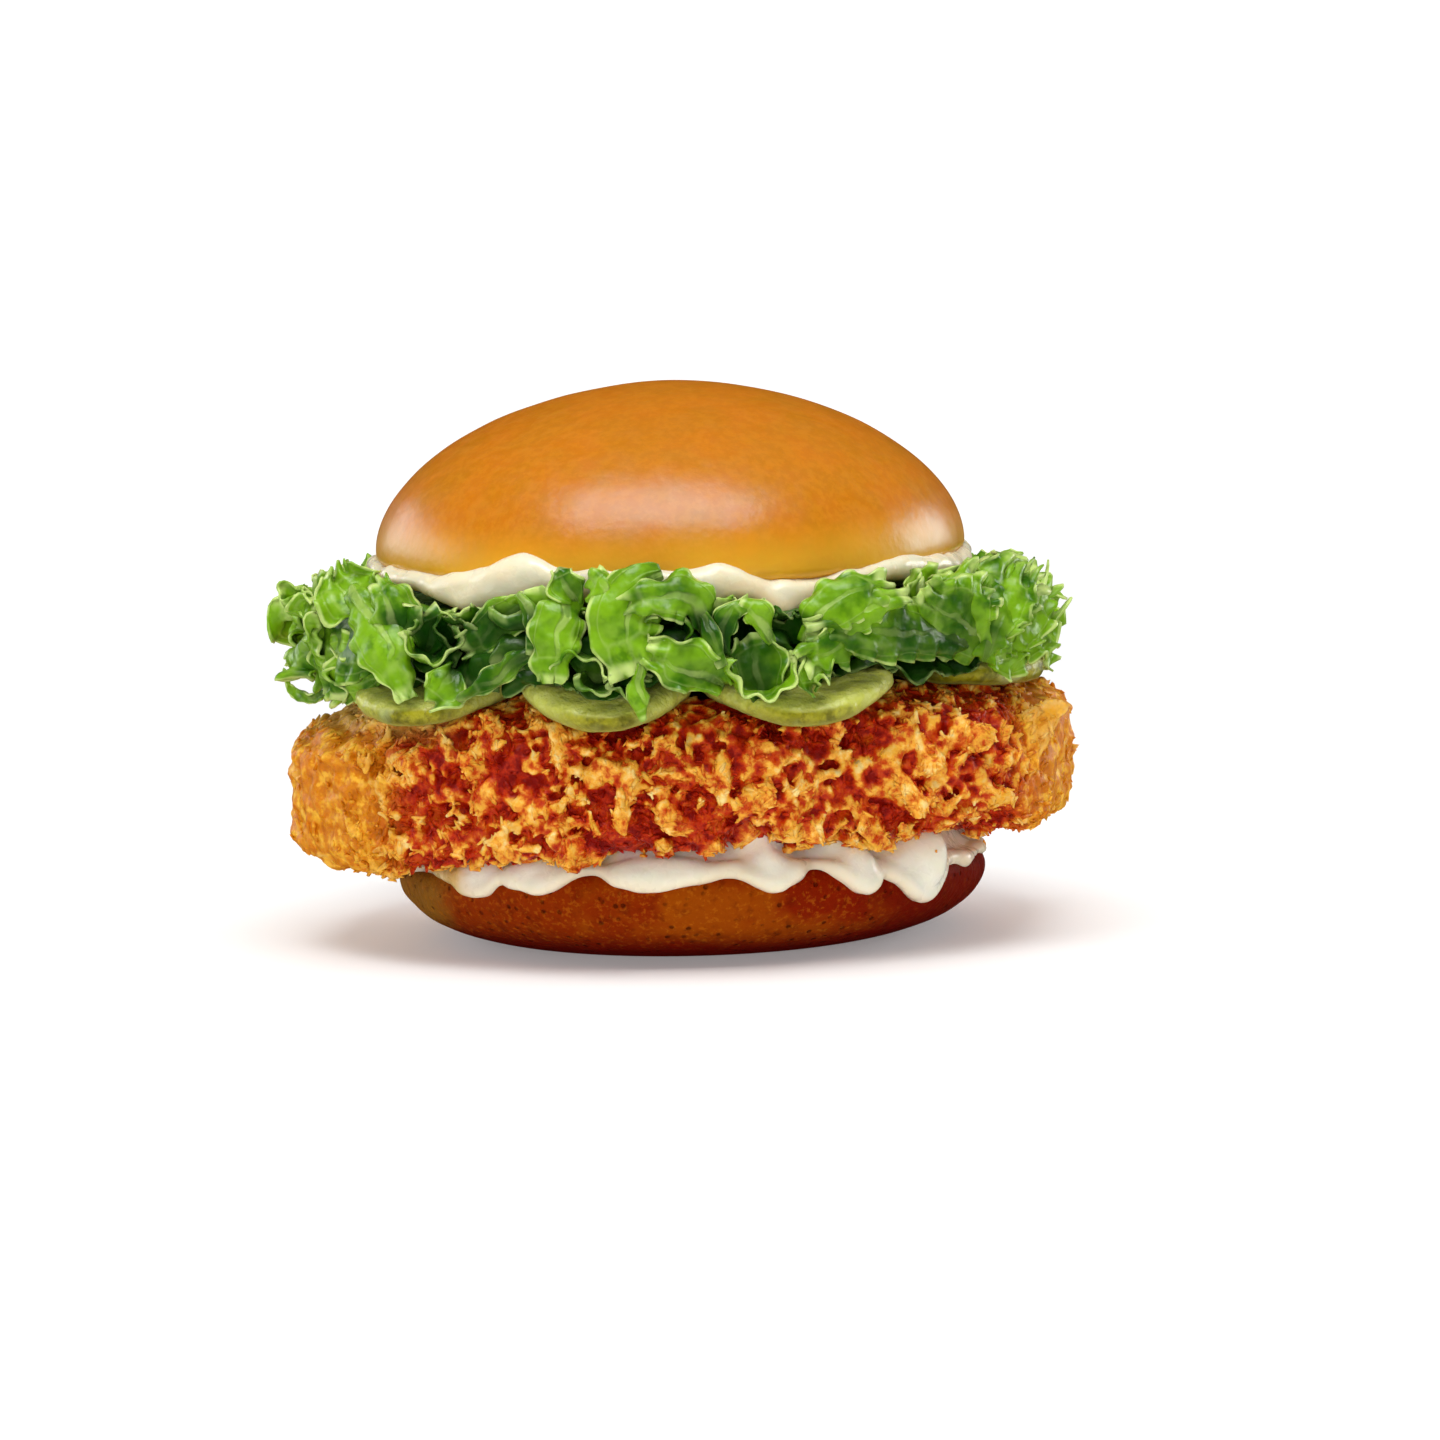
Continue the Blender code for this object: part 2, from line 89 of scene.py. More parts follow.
def display(red, green, blue):
    """The linear colour that a screen shows as these values from 0 to 255."""
    return tuple(
        value / 12.92 if value <= 0.04045 else ((value + 0.055) / 1.055) ** 2.4
        for value in (red / 255, green / 255, blue / 255)
    )


# ---- numbers over points


def lattice_noise(points, size, seed=0):
    """Smooth random values, mostly from -1 to 1, with features about size across."""
    place = np.asarray(points) / size
    cell = np.floor(place).astype(np.int64)
    part = place - cell
    fade = part**3 * (part * (part * 6 - 15) + 10)
    total = np.zeros(len(place))
    for corner in itertools.product((0, 1), repeat=3):
        node = (cell + corner) & 0xFFFFFF
        mixed = (node[:, 0] * 73856093) ^ (node[:, 1] * 19349663) ^ (node[:, 2] * 83492791) ^ (seed * 6291469)
        mixed = ((mixed ^ (mixed >> 13)) & 0xFFFFFFFF) * 1274126177 & 0xFFFFFFFF
        mixed = ((mixed ^ (mixed >> 15)) & 0xFFFFFFFF) * 668265263 & 0xFFFFFFFF
        slope = ((mixed[:, None] >> np.array([4, 12, 20])) & 255) / 127.5 - 1
        weight = np.prod(np.where(corner, fade, 1 - fade), axis=1)
        total += weight * np.sum(slope * (part - corner), axis=1)
    return total * 1.6


def layered_noise(points, size, layers, seed):
    """Noise of several sizes, each half the last and half as strong."""
    return sum(0.5**k * lattice_noise(points, size / 2**k, seed + 31 * k) for k in range(layers))


def vector_noise(points, size, seed):
    """Noise for each axis."""
    return np.stack([lattice_noise(points, size, seed + axis) for axis in range(3)], axis=1)


def smooth_step(values, low, high):
    share = np.clip((values - low) / (high - low), 0, 1)
    return share * share * (3 - 2 * share)


def at_most(values, limit, soft):
    """Values bent smoothly under a limit."""
    room = limit - values
    return limit - (room + np.sqrt(room * room + soft * soft)) / 2


def directions(count, start=0.0):
    """Angles all round from a start, evenly spaced."""
    return np.linspace(start, start + math.tau, count, endpoint=False)


def from_middle(points):
    """Each point's distance from the burger's upright middle line."""
    return np.hypot(points[:, 0], points[:, 1])


def swelling(angles, places):
    """The sum in each direction of round swellings, each (direction, half width, size)."""
    middles, halves, sizes = np.array(places).T
    gap = (np.degrees(angles)[..., None] - middles + 180) % 360 - 180
    return np.exp(-((gap / halves) ** 2)) @ sizes


def unit(vectors):
    """Vectors made 1 long."""
    return vectors / np.maximum(np.linalg.norm(vectors, axis=-1, keepdims=True), 1e-12)


# ---- meshes


def linked(name, data):
    made = bpy.data.objects.new(name, data)
    bpy.context.scene.collection.objects.link(made)
    return made


def mesh_of(name, points, faces):
    mesh = bpy.data.meshes.new(name)
    mesh.from_pydata(np.asarray(points).tolist(), [], np.asarray(faces).tolist())
    mesh.validate()
    return mesh


def grid_faces(rows, columns, closed_columns=False, offset=0):
    """Quads between the points of a grid that is stored row by row."""
    row = np.arange(rows - 1)[:, None] * columns
    column = np.arange(columns if closed_columns else columns - 1)[None, :]
    after = (column + 1) % columns
    corners = [row + column, row + after, row + columns + after, row + columns + column]
    return np.stack(corners, axis=-1).reshape(-1, 4) + offset


def points_of(mesh):
    points = np.empty(len(mesh.vertices) * 3)
    mesh.vertices.foreach_get("co", points)
    return points.reshape(-1, 3)


def normals_of(mesh):
    normals = np.empty(len(mesh.vertices) * 3)
    mesh.vertex_normals.foreach_get("vector", normals)
    return normals.reshape(-1, 3)


def set_points(mesh, points):
    mesh.vertices.foreach_set("co", np.asarray(points, dtype=np.float32).ravel())
    mesh.update()


def set_attributes(mesh, **values):
    """Stores one number for each point, or the same for all, under names that materials read."""
    for name, numbers in values.items():
        attribute = mesh.attributes.new(name, "FLOAT", "POINT")
        numbers = np.broadcast_to(np.ravel(numbers), len(mesh.vertices))
        attribute.data.foreach_set("value", numbers.astype(np.float32))


def evaluated(holder):
    """The mesh that an object shows with its modifiers, as a plain mesh."""
    bpy.context.view_layer.update()
    return bpy.data.meshes.new_from_object(holder.evaluated_get(bpy.context.evaluated_depsgraph_get()))


def taken_from(holder):
    """The mesh that an object shows; the object and the mesh it was made with are removed."""
    made = evaluated(holder)
    mesh = holder.data
    bpy.data.objects.remove(holder)
    bpy.data.meshes.remove(mesh)
    return made


def with_modifiers(mesh, *modifiers):
    """The mesh after modifiers, each (type, settings); the mesh given is removed."""
    holder = linked("holder", mesh)
    for kind, settings in modifiers:
        modifier = holder.modifiers.new(kind, kind)
        for key, value in settings.items():
            setattr(modifier, key, value)
    return taken_from(holder)


def triangles(mesh):
    return sum(len(face.vertices) - 2 for face in mesh.polygons)


def thinned(mesh, ratio, where=None):
    """The mesh with a share of its faces, fewer where the values, from 0 to 1, are high; without values,
    fewer where it was thinned before. The mesh given is removed."""
    holder = linked("holder", mesh)
    if where is not None:
        group = holder.vertex_groups.new(name="thin")
        for weight in (0.25, 0.5, 0.75, 1.0):
            group.add(np.flatnonzero(np.round(where * 4) == weight * 4).tolist(), weight, "REPLACE")
    modifier = holder.modifiers.new("thin", "DECIMATE")
    modifier.vertex_group = "thin"
    modifier.ratio = ratio
    return taken_from(holder)


def merged_copy(node):
    """A copy of a solid's mesh with its loose triangles joined at their corners."""
    mesh = frame["nodes"][node].data.copy()
    mesh.materials.clear()
    bm = bmesh.new()
    bm.from_mesh(mesh)
    bmesh.ops.remove_doubles(bm, verts=bm.verts, dist=0.005 * MM)
    bm.to_mesh(mesh)
    bm.free()
    return mesh


def softened(node, voxel, rounds):
    """A solid's shape with even small faces and soft edges."""
    return with_modifiers(
        merged_copy(node),
        ("SUBSURF", {"levels": 1, "render_levels": 1}),
        ("REMESH", {"mode": "VOXEL", "voxel_size": voxel}),
        ("SMOOTH", {"factor": 0.5, "iterations": rounds}),
    )


def joined(*meshes):
    """One mesh of several, which are removed."""
    bm = bmesh.new()
    for mesh in meshes:
        bm.from_mesh(mesh)
        bpy.data.meshes.remove(mesh)
    made = bpy.data.meshes.new("joined")
    bm.to_mesh(made)
    bm.free()
    return made


def closed_rings(name, rings, **values):
    """A closed mesh of rings, whose first and last ring each shrink to a point, with values for points."""
    rows, columns, _ = rings.shape
    mesh = mesh_of(name, rings.reshape(-1, 3), grid_faces(rows, columns, closed_columns=True))
    set_attributes(mesh, **values)
    bm = bmesh.new()
    bm.from_mesh(mesh)
    bmesh.ops.remove_doubles(bm, verts=bm.verts, dist=0.001 * MM)
    bmesh.ops.recalc_face_normals(bm, faces=bm.faces)
    bm.to_mesh(mesh)
    bm.free()
    return mesh


def blurred(mesh, values, rounds):
    """Values averaged over each point's neighbours, again and again."""
    ends = np.empty(len(mesh.edges) * 2, dtype=np.int32)
    mesh.edges.foreach_get("vertices", ends)
    first, second = ends.reshape(-1, 2).T
    count = len(mesh.vertices)
    degree = np.bincount(ends, minlength=count) + 1.0
    for _ in range(rounds):
        total = np.bincount(first, values[second], count) + np.bincount(second, values[first], count)
        values = (total + values) / degree
    return values


def tree_of(mesh):
    return BVHTree.FromPolygons(points_of(mesh).tolist(), [tuple(face.vertices) for face in mesh.polygons])


def distances(tree, points):
    return np.array([tree.find_nearest(point)[3] for point in points.tolist()])


def finished(name, mesh, material, slot, *nodes):
    """A piece of the burger: smooth, with its material, riding on the burger for its solids."""
    mesh.name = name
    mesh.materials.clear()
    mesh.materials.append(material)
    mesh.shade_smooth()
    piece = linked(name, mesh)
    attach(piece, "root")
    if nodes:
        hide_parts(*nodes)


# ---- node trees


class Wire:
    """A node's output that takes part in Python sums: each operator adds its node."""

    def __init__(self, tree, socket):
        self.tree = tree
        self.socket = socket

    def __add__(self, other):
        return self.tree.math("ADD", self, other)

    def __radd__(self, other):
        return self.tree.math("ADD", other, self)

    def __sub__(self, other):
        return self.tree.math("SUBTRACT", self, other)

    def __rsub__(self, other):
        return self.tree.math("SUBTRACT", other, self)

    def __mul__(self, other):
        return self.tree.math("MULTIPLY", self, other)

    def __rmul__(self, other):
        return self.tree.math("MULTIPLY", other, self)

    def __truediv__(self, other):
        return self.tree.math("DIVIDE", self, other)


class Tree:
    """A node tree that is written as Python expressions."""

    def __init__(self, tree):
        self.tree = tree

    def node(self, kind, settings=None, sockets=None, output=0):
        """Adds a node, with its settings first, then the values or wires of its sockets."""
        made = self.tree.nodes.new(kind)
        for key, value in (settings or {}).items():
            if key == "stops":
                self.set_stops(made.color_ramp, value)
            else:
                setattr(made, key, value)
        for key, value in (sockets or {}).items():
            if isinstance(value, Wire):
                self.tree.links.new(value.socket, made.inputs[key])
            elif value is not None:
                made.inputs[key].default_value = value
        return Wire(self, made.outputs[output])

    @staticmethod
    def set_stops(ramp, stops):
        while len(ramp.elements) > 1:
            ramp.elements.remove(ramp.elements[-1])
        for index, (place, colour) in enumerate(stops):
            element = ramp.elements[0] if index == 0 else ramp.elements.new(place)
            element.position = place
            element.color = (*colour, 1)

    def math(self, operation, *values):
        """A Math node on numbers, or a Vector Math node where a wire carries a vector."""
        wires = [value for value in values if isinstance(value, Wire)]
        if any(wire.socket.type in ("VECTOR", "RGBA") for wire in wires):
            values = [value if isinstance(value, (Wire, tuple)) else (value,) * 3 for value in values]
            kind = "ShaderNodeVectorMath"
        else:
            kind = "ShaderNodeMath"
        return self.node(kind, {"operation": operation}, dict(enumerate(values)))

    def scaled(self, vector, size):
        return self.node("ShaderNodeVectorMath", {"operation": "SCALE"}, {0: vector, "Scale": size})

    def vector(self, *parts):
        return self.node("ShaderNodeCombineXYZ", None, dict(enumerate(parts)))

    def between(self, value, low, high, to_low=0.0, to_high=1.0):
        """Smoothly from to_low, where the value is low, to to_high, where it is high."""
        sockets = {"Value": value, "From Min": low, "From Max": high, "To Min": to_low, "To Max": to_high}
        return self.node("ShaderNodeMapRange", {"interpolation_type": "SMOOTHSTEP"}, sockets)


class Look(Tree):
    """A material round one Principled shader; constants are values of the shader's own sockets."""

    def __init__(self, name, **constants):
        self.material = bpy.data.materials.new(name)
        self.material.use_nodes = True
        super().__init__(self.material.node_tree)
        self.shader = self.tree.nodes["Principled BSDF"]
        for key, value in constants.items():
            self.shader.inputs[key.replace("_", " ")].default_value = value
        self.place = self.node("ShaderNodeTexCoord", output="Object") * (1 / MM, 1 / MM, 1 / MM)  # in mm

    def part(self, axis):
        """The place along one axis, in mm."""
        return self.node("ShaderNodeSeparateXYZ", None, {0: self.place}, output="XYZ".index(axis))

    def attribute(self, name):
        return self.node("ShaderNodeAttribute", {"attribute_name": name}, output="Fac")

    def noise(self, size_mm, detail=2.0, roughness=0.5, distortion=0.0):
        sockets = {
            "Vector": self.place, "Scale": 1 / size_mm, "Detail": detail, "Roughness": roughness,
            "Distortion": distortion,
        }
        return self.node("ShaderNodeTexNoise", None, sockets, output="Fac")

    def patches(self, size_mm, low, high, detail=2.0, roughness=0.5):
        """Soft patches of a noise: 0 where it is under low and 1 where it is over high."""
        return self.between(self.noise(size_mm, detail, roughness), low, high)

    def uneven(self, low, high, size_mm, detail=2.0):
        """A value that drifts between low and high."""
        return self.between(self.noise(size_mm, detail), 0.3, 0.7, low, high)

    def shifted(self, value, amount, size_mm, detail=2.0):
        """A value that noise moves up and down by up to half the amount, so that its edges wander."""
        return value + amount * (self.noise(size_mm, detail) - 0.5)

    def cells(self, size_mm, feature="F1", place=None):
        sockets = {"Vector": place or self.place, "Scale": 1 / size_mm}
        return self.node("ShaderNodeTexVoronoi", {"feature": feature}, sockets, output="Distance")

    def mix(self, share, first, second):
        """A colour between two, each a wire or three numbers."""
        colours = [value if isinstance(value, Wire) else (*value, 1) for value in (first, second)]
        settings = {"data_type": "RGBA", "clamp_factor": True}
        return self.node("ShaderNodeMix", settings, {0: share, 6: colours[0], 7: colours[1]}, output=2)

    def layers(self, colour, *over):
        """A colour under layers, each (how much of it shows, its colour)."""
        for share, layer in over:
            colour = self.mix(share, colour, layer)
        return colour

    def ramp(self, share, *stops):
        return self.node("ShaderNodeValToRGB", {"stops": stops}, {"Fac": share}, output="Color")

    def relief(self, *bumps):
        """Bumps one on another, each (height, mm that a height of 1 stands out, strength)."""
        normal = None
        for height, distance_mm, strength in bumps:
            sockets = {"Height": height, "Distance": distance_mm * MM, "Strength": strength, "Normal": normal}
            normal = self.node("ShaderNodeBump", None, sockets)
        return normal

    def paint(self, **wires):
        """Links wires to the shader's sockets and gives the material."""
        for key, wire in wires.items():
            self.tree.links.new(wire.socket, self.shader.inputs[key.replace("_", " ")])
        return self.material


class Pattern(Tree):
    """A Geometry Nodes tree with named inputs that is run on a mesh and leaves a plain mesh."""

    def __init__(self, name, **inputs):
        group = bpy.data.node_groups.new(name, "GeometryNodeTree")
        super().__init__(group)
        for side in ("INPUT", "OUTPUT"):
            group.interface.new_socket("Geometry", in_out=side, socket_type="NodeSocketGeometry")
        for label, kind in inputs.items():
            group.interface.new_socket(label, in_out="INPUT", socket_type=f"NodeSocket{kind}")
        self.entry = group.nodes.new("NodeGroupInput")

    def input(self, label):
        return Wire(self, self.entry.outputs[label])

    def end(self, geometry, material):
        """Realizes the instances, gives them their material and closes the tree."""
        real = self.node("GeometryNodeRealizeInstances", None, {0: geometry})
        real = self.node("GeometryNodeSetMaterial", None, {"Geometry": real, "Material": material})
        out = self.tree.nodes.new("NodeGroupOutput")
        self.tree.links.new(real.socket, out.inputs[0])

    def run(self, mesh, **values):
        """The pattern on a mesh, which is removed, with values for the named inputs."""
        holder = linked("holder", mesh)
        modifier = holder.modifiers.new("pattern", "NODES")
        modifier.node_group = self.tree
        identifiers = {item.name: item.identifier for item in self.tree.interface.items_tree}
        for label, value in values.items():
            modifier[identifiers[label]] = value
        return taken_from(holder)


def scatter_pattern():
    """Scatters shapes over a surface where "chosen" is high, each turned at random and tilted off it."""
    pattern = Pattern(
        "scattered shapes", Shapes="Collection", Spacing="Float", Smallest="Float", Largest="Float",
        Tilt="Float", Lift="Float", Seed="Int", Material="Material",
    )
    seed, tilt = pattern.input("Seed"), pattern.input("Tilt")
    chosen = pattern.node("GeometryNodeInputNamedAttribute", {"data_type": "FLOAT"}, {"Name": "chosen"})
    surface = {
        "Mesh": pattern.input("Geometry"), "Distance Min": pattern.input("Spacing"), "Density Max": 4e6,
        "Density Factor": chosen, "Seed": seed,
    }
    points = pattern.node(
        "GeometryNodeDistributePointsOnFaces", {"distribute_method": "POISSON"}, surface, output="Points"
    )
    normal, turned = (Wire(pattern, points.socket.node.outputs[name]) for name in ("Normal", "Rotation"))
    lift = pattern.scaled(normal, pattern.input("Lift"))
    points = pattern.node("GeometryNodeSetPosition", None, {"Geometry": points, "Offset": lift})

    def random(kind, low, high, salt, first=0):
        sockets = {first: low, first + 1: high, "Seed": seed + salt}
        return pattern.node("FunctionNodeRandomValue", {"data_type": kind}, sockets, output=first // 2)

    lean = pattern.vector(*(random("FLOAT", -1.0, 1.0, salt, 2) * tilt for salt in (11, 12)), 0.0)
    spin = pattern.vector(0.0, 0.0, random("FLOAT", 0.0, math.tau, 13, 2))
    for angles in (spin, lean):
        by = pattern.node("FunctionNodeEulerToRotation", None, {0: angles})
        turned = pattern.node("FunctionNodeRotateRotation", {"rotation_space": "LOCAL"}, {0: turned, 1: by})
    size = random("FLOAT", pattern.input("Smallest"), pattern.input("Largest"), 14, 2)
    shape = random("FLOAT_VECTOR", (0.75, 0.7, 0.75), (1.3, 1.4, 1.3), 15)
    shapes = pattern.node("GeometryNodeCollectionInfo", None, {
        "Collection": pattern.input("Shapes"), "Separate Children": True, "Reset Children": True
    })
    pattern.end(pattern.node("GeometryNodeInstanceOnPoints", None, {
        "Points": points, "Instance": shapes, "Pick Instance": True, "Rotation": turned,
        "Scale": pattern.scaled(shape, size),
    }), pattern.input("Material"))
    return pattern


# ---- sizes and colours a user would change


def length(name, description, default, low=0.0, high=1.0):
    return FloatProperty(
        name=name, description=description, default=default, min=low, max=high, unit="LENGTH", precision=5
    )


def tint(name, description, default):
    return FloatVectorProperty(
        name=name, description=description, default=default, size=3, min=0, max=1, subtype="COLOR"
    )


class BunSettings(bpy.types.PropertyGroup):
    crust: tint("Crust", "Colour of the baked crown", display(186, 112, 0))
    # Paler crust at the crown's lower edge: partly its own colour, partly painted light where the crown turns
    # away from the lamps.
    shoulder: tint("Shoulder", "Paler crust near the crown's lower edge", display(244, 186, 44))
    base: tint("Base", "Dark crust of the heel", display(124, 18, 0))
    golden: tint("Golden", "Lighter patches of the heel's crust", display(158, 76, 3))


class SauceSettings(bpy.types.PropertyGroup):
    # The two sauces are one cream: the lower one is painted paler, as painted light where the fillet shades
    # it.
    cream: tint("Cream", "Colour of the upper sauce", display(240, 226, 192))
    pale: tint("Pale cream", "Colour of the lower sauce", display(255, 250, 230))
    # Yellower and darker at the sauces' lower edges: partly a greasy film, partly painted shade.
    oil: tint("Oil", "Yellower sauce where it is thin and oily", display(220, 186, 92))
    thickness: length("Thickness", "Thickness of the lower sauce at its lip", 1.5 * MM)
    bulge: length("Bulge", "How far the upper sauce stands out under the crown", 3.4 * MM)
    lump: length("Lumps", "Height of the sauce's soft lumps", 0.65 * MM)


class FilletSettings(bpy.types.PropertyGroup):
    # Colours of the coating by how far it stands out: partly its own, partly painted light on ridges and
    # painted shade in crevices.
    peak: tint("Peaks", "Crisp golden edges of the coating", display(255, 186, 64))
    coating: tint("Coating", "Fried coating between peaks and crevices", display(208, 82, 8))
    crevice: tint("Crevices", "Dark fried coating deep down", display(138, 12, 1))
    voxel: length("Fineness", "Size of the coating's faces", 0.45 * MM)
    flake: length("Flakes", "Length of a flake of coating", 5 * MM)
    spacing: length("Spacing", "Least distance between flakes", 2.6 * MM)
    inset: length("Inset", "How far the meat's surface lies under the solid's", 2.2 * MM)
    skirt: length("Skirt", "How far the coating hangs down at the lower rim", 0.9 * MM)
    seed: IntProperty(name="Seed", description="Which arrangement of flakes", default=4)


class PickleSettings(bpy.types.PropertyGroup):
    skin: tint("Skin", "Skin round a slice", display(146, 142, 4))
    flesh: tint("Flesh", "Translucent flesh of a slice", display(198, 202, 84))
    voxel: length("Fineness", "Size of a slice's faces", 0.5 * MM)


class LettuceSettings(bpy.types.PropertyGroup):
    leaf: tint("Leaf", "Colour of the leaf", display(120, 168, 16))
    # The dark leaf shows in random patches and where the leaf is painted shaded.
    dark: tint("Dark leaf", "Darker leaf between veins", display(50, 102, 6))
    rib: tint("Rib", "Pale ribs and root", display(200, 218, 130))
    fineness: length("Fineness", "Size of a leaf's faces", 0.7 * MM)
    thickness: length("Thickness", "Thickness of a leaf", 0.45 * MM)


class CrumbSettings(bpy.types.PropertyGroup):
    size: length("Size", "Length of the largest loose crumb", 1.4 * MM)
    spacing: length("Spacing", "Least distance between crumbs", 5 * MM)


class StageSettings(bpy.types.PropertyGroup):
    floor: tint("Floor", "Colour of the floor", (0.8, 0.8, 0.8))
    distance: length("Camera distance", "From the burger's middle to the camera", 0.8, 0.1, 5)
    elevation: FloatProperty(
        name="Elevation", description="Camera's height angle", default=math.radians(5.5), subtype="ANGLE"
    )


# ---- bun

BUN_WAVES = ((2, 0.008, 0.4), (3, 0.004, 3.6))  # count round the bun, share of the radius, phase
CROWN_TILT = math.radians(2)  # how far the crown leans towards the front
CROWN_RADIUS = 49 * MM
CROWN_ROLL = 2.4 * MM  # how far in its lower edge rolls
CROWN_WIDEST, CROWN_HEIGHT = 2.1 * MM, 29.2 * MM  # heights over its cut face
CROWN_POWER = 2 / 1.86  # 1 would make the dome an ellipse
HEEL_RADIUS = (HEEL_HIGH.x - HEEL_LOW.x) / 2
HEEL_BASE = 28 * MM  # radius of the flat underside
HEEL_CUT = HEEL_RADIUS - 1.6 * MM  # radius of the cut face, inside its rounded rim
HEEL_WIDEST, HEEL_HEIGHT = 12 * MM, 14.5 * MM
HEEL_SADDLE = 1.8 / 14.5  # how much higher the heel is in front and behind, as a share of its height
RIGHT_ANGLE = math.pi / 2


def bun_round(angles):
    """The bun's outline, a factor round 1 in each direction."""
    return 1 + sum(size * np.sin(count * angles + phase) for count, size, phase in BUN_WAVES)


def saddle(x, y):
    """A factor on heights that bends the heel up in front and behind, and down at its sides."""
    return 1 + HEEL_SADDLE * (y * y - x * x) / CROWN_RADIUS**2


def crown_points(columns, rows):
    """The crown as rings from the middle of its cut face, round its rolled edge and up to its top."""
    cut = np.linspace(0, 1, rows // 4, endpoint=False)
    roll = np.linspace(0, RIGHT_ANGLE, rows // 5, endpoint=False)
    dome = np.linspace(0, RIGHT_ANGLE, rows)
    inner = CROWN_RADIUS - CROWN_ROLL
    radii = np.concatenate([
        inner * cut, inner + CROWN_ROLL * np.sin(roll), CROWN_RADIUS * np.cos(dome) ** CROWN_POWER
    ])
    hollow = 0.4 * MM * (1 - cut) ** 2
    over = CROWN_WIDEST + (CROWN_HEIGHT - CROWN_WIDEST) * np.sin(dome) ** CROWN_POWER
    heights = np.concatenate([hollow, CROWN_WIDEST * (1 - np.cos(roll)), over])
    angles = directions(columns)
    reach = radii[:, None] * bun_round(angles)
    x, y, z = reach * np.cos(angles), reach * np.sin(angles), heights[:, None]
    lean_y = y * math.cos(CROWN_TILT) - z * math.sin(CROWN_TILT)
    lean_z = y * math.sin(CROWN_TILT) + z * math.cos(CROWN_TILT)
    points = np.stack([x, lean_y, lean_z], axis=-1)
    return points + np.array([(CROWN_LOW.x + CROWN_HIGH.x) / 2, 0, CROWN_HIGH.z - lean_z.max()])


def heel_side(turn):
    """Distance out and height on the heel's side, from 0 at its base to a right angle where it is widest."""
    return HEEL_BASE + (HEEL_RADIUS - HEEL_BASE) * np.sin(turn), HEEL_WIDEST * (1 - np.cos(turn))


def heel_rim(turn):
    """Distance out and height on the rounded rim, from 0 where it is widest to a right angle on top."""
    over = HEEL_WIDEST + (HEEL_HEIGHT - HEEL_WIDEST) * np.sin(turn)
    return HEEL_CUT + (HEEL_RADIUS - HEEL_CUT) * np.cos(turn), over


def heel_round(radii, heights, angles):
    """Points of a section that is turned round the heel's middle, with the bun's waves and saddle."""
    reach = radii * bun_round(angles)
    x, y = reach * np.cos(angles), reach * np.sin(angles)
    middle = (HEEL_LOW + HEEL_HIGH) / 2
    return np.stack([x + middle.x, y + middle.y, heights * saddle(x, y)], axis=-1)


def heel_points(columns, rows):
    """The heel as rings from the middle of its base, up its rounded side and over its cut face."""
    base = np.linspace(0, 1, rows // 4, endpoint=False)
    side = heel_side(np.linspace(0, RIGHT_ANGLE, rows, endpoint=False))
    rim = heel_rim(np.linspace(0, RIGHT_ANGLE, rows // 4))
    cut = np.linspace(1, 0, rows // 5)[1:]
    radii = np.concatenate([HEEL_BASE * base, side[0], rim[0], HEEL_CUT * cut])
    heights = np.concatenate([0 * base, side[1], rim[1], np.full(len(cut), HEEL_HEIGHT)])
    return heel_round(radii[:, None], heights[:, None], directions(columns))


def crown_crust(settings):
    """Glazed crust: golden, paler towards its lower edge, with fine dimples under the gloss; that paler band
    is partly the crust's own colour and partly painted light.
    """
    look = Look(
        "crown_crust", Specular_IOR_Level=0.42, Specular_Tint=(0.3, 0.85, 1.0, 1.0), Coat_Weight=0.24,
        Coat_Roughness=0.29, Subsurface_Weight=0.04, Subsurface_Scale=0.003,
    )
    height = look.part("Z")
    # Paler towards the lower edge: partly the crust's own colour, partly painted light where the crown turns
    # away from the lamps.
    low = 1 - look.between(look.shifted(height, 5, 18), 62.0, 73.0)
    colour = look.layers(
        settings.crust,
        (look.patches(8, 0.35, 0.65, 4, 0.6) * 0.55, display(202, 110, 0)),
        (low * 0.8, settings.shoulder),
        (look.between(height, 76.0, 92.0) * look.patches(22, 0.3, 0.7) * 0.4, display(196, 104, 2)),
        (look.patches(1.6, 0.4, 0.62, 3, 0.7) * 0.2, display(226, 148, 30)),
    )
    relief = look.relief((look.noise(1.2, 2), 0.06, 0.6), (look.noise(6, 3, 0.6), 0.4, 0.5))
    return look.paint(Base_Color=colour, Roughness=look.uneven(0.29, 0.37, 3, 3), Normal=relief)


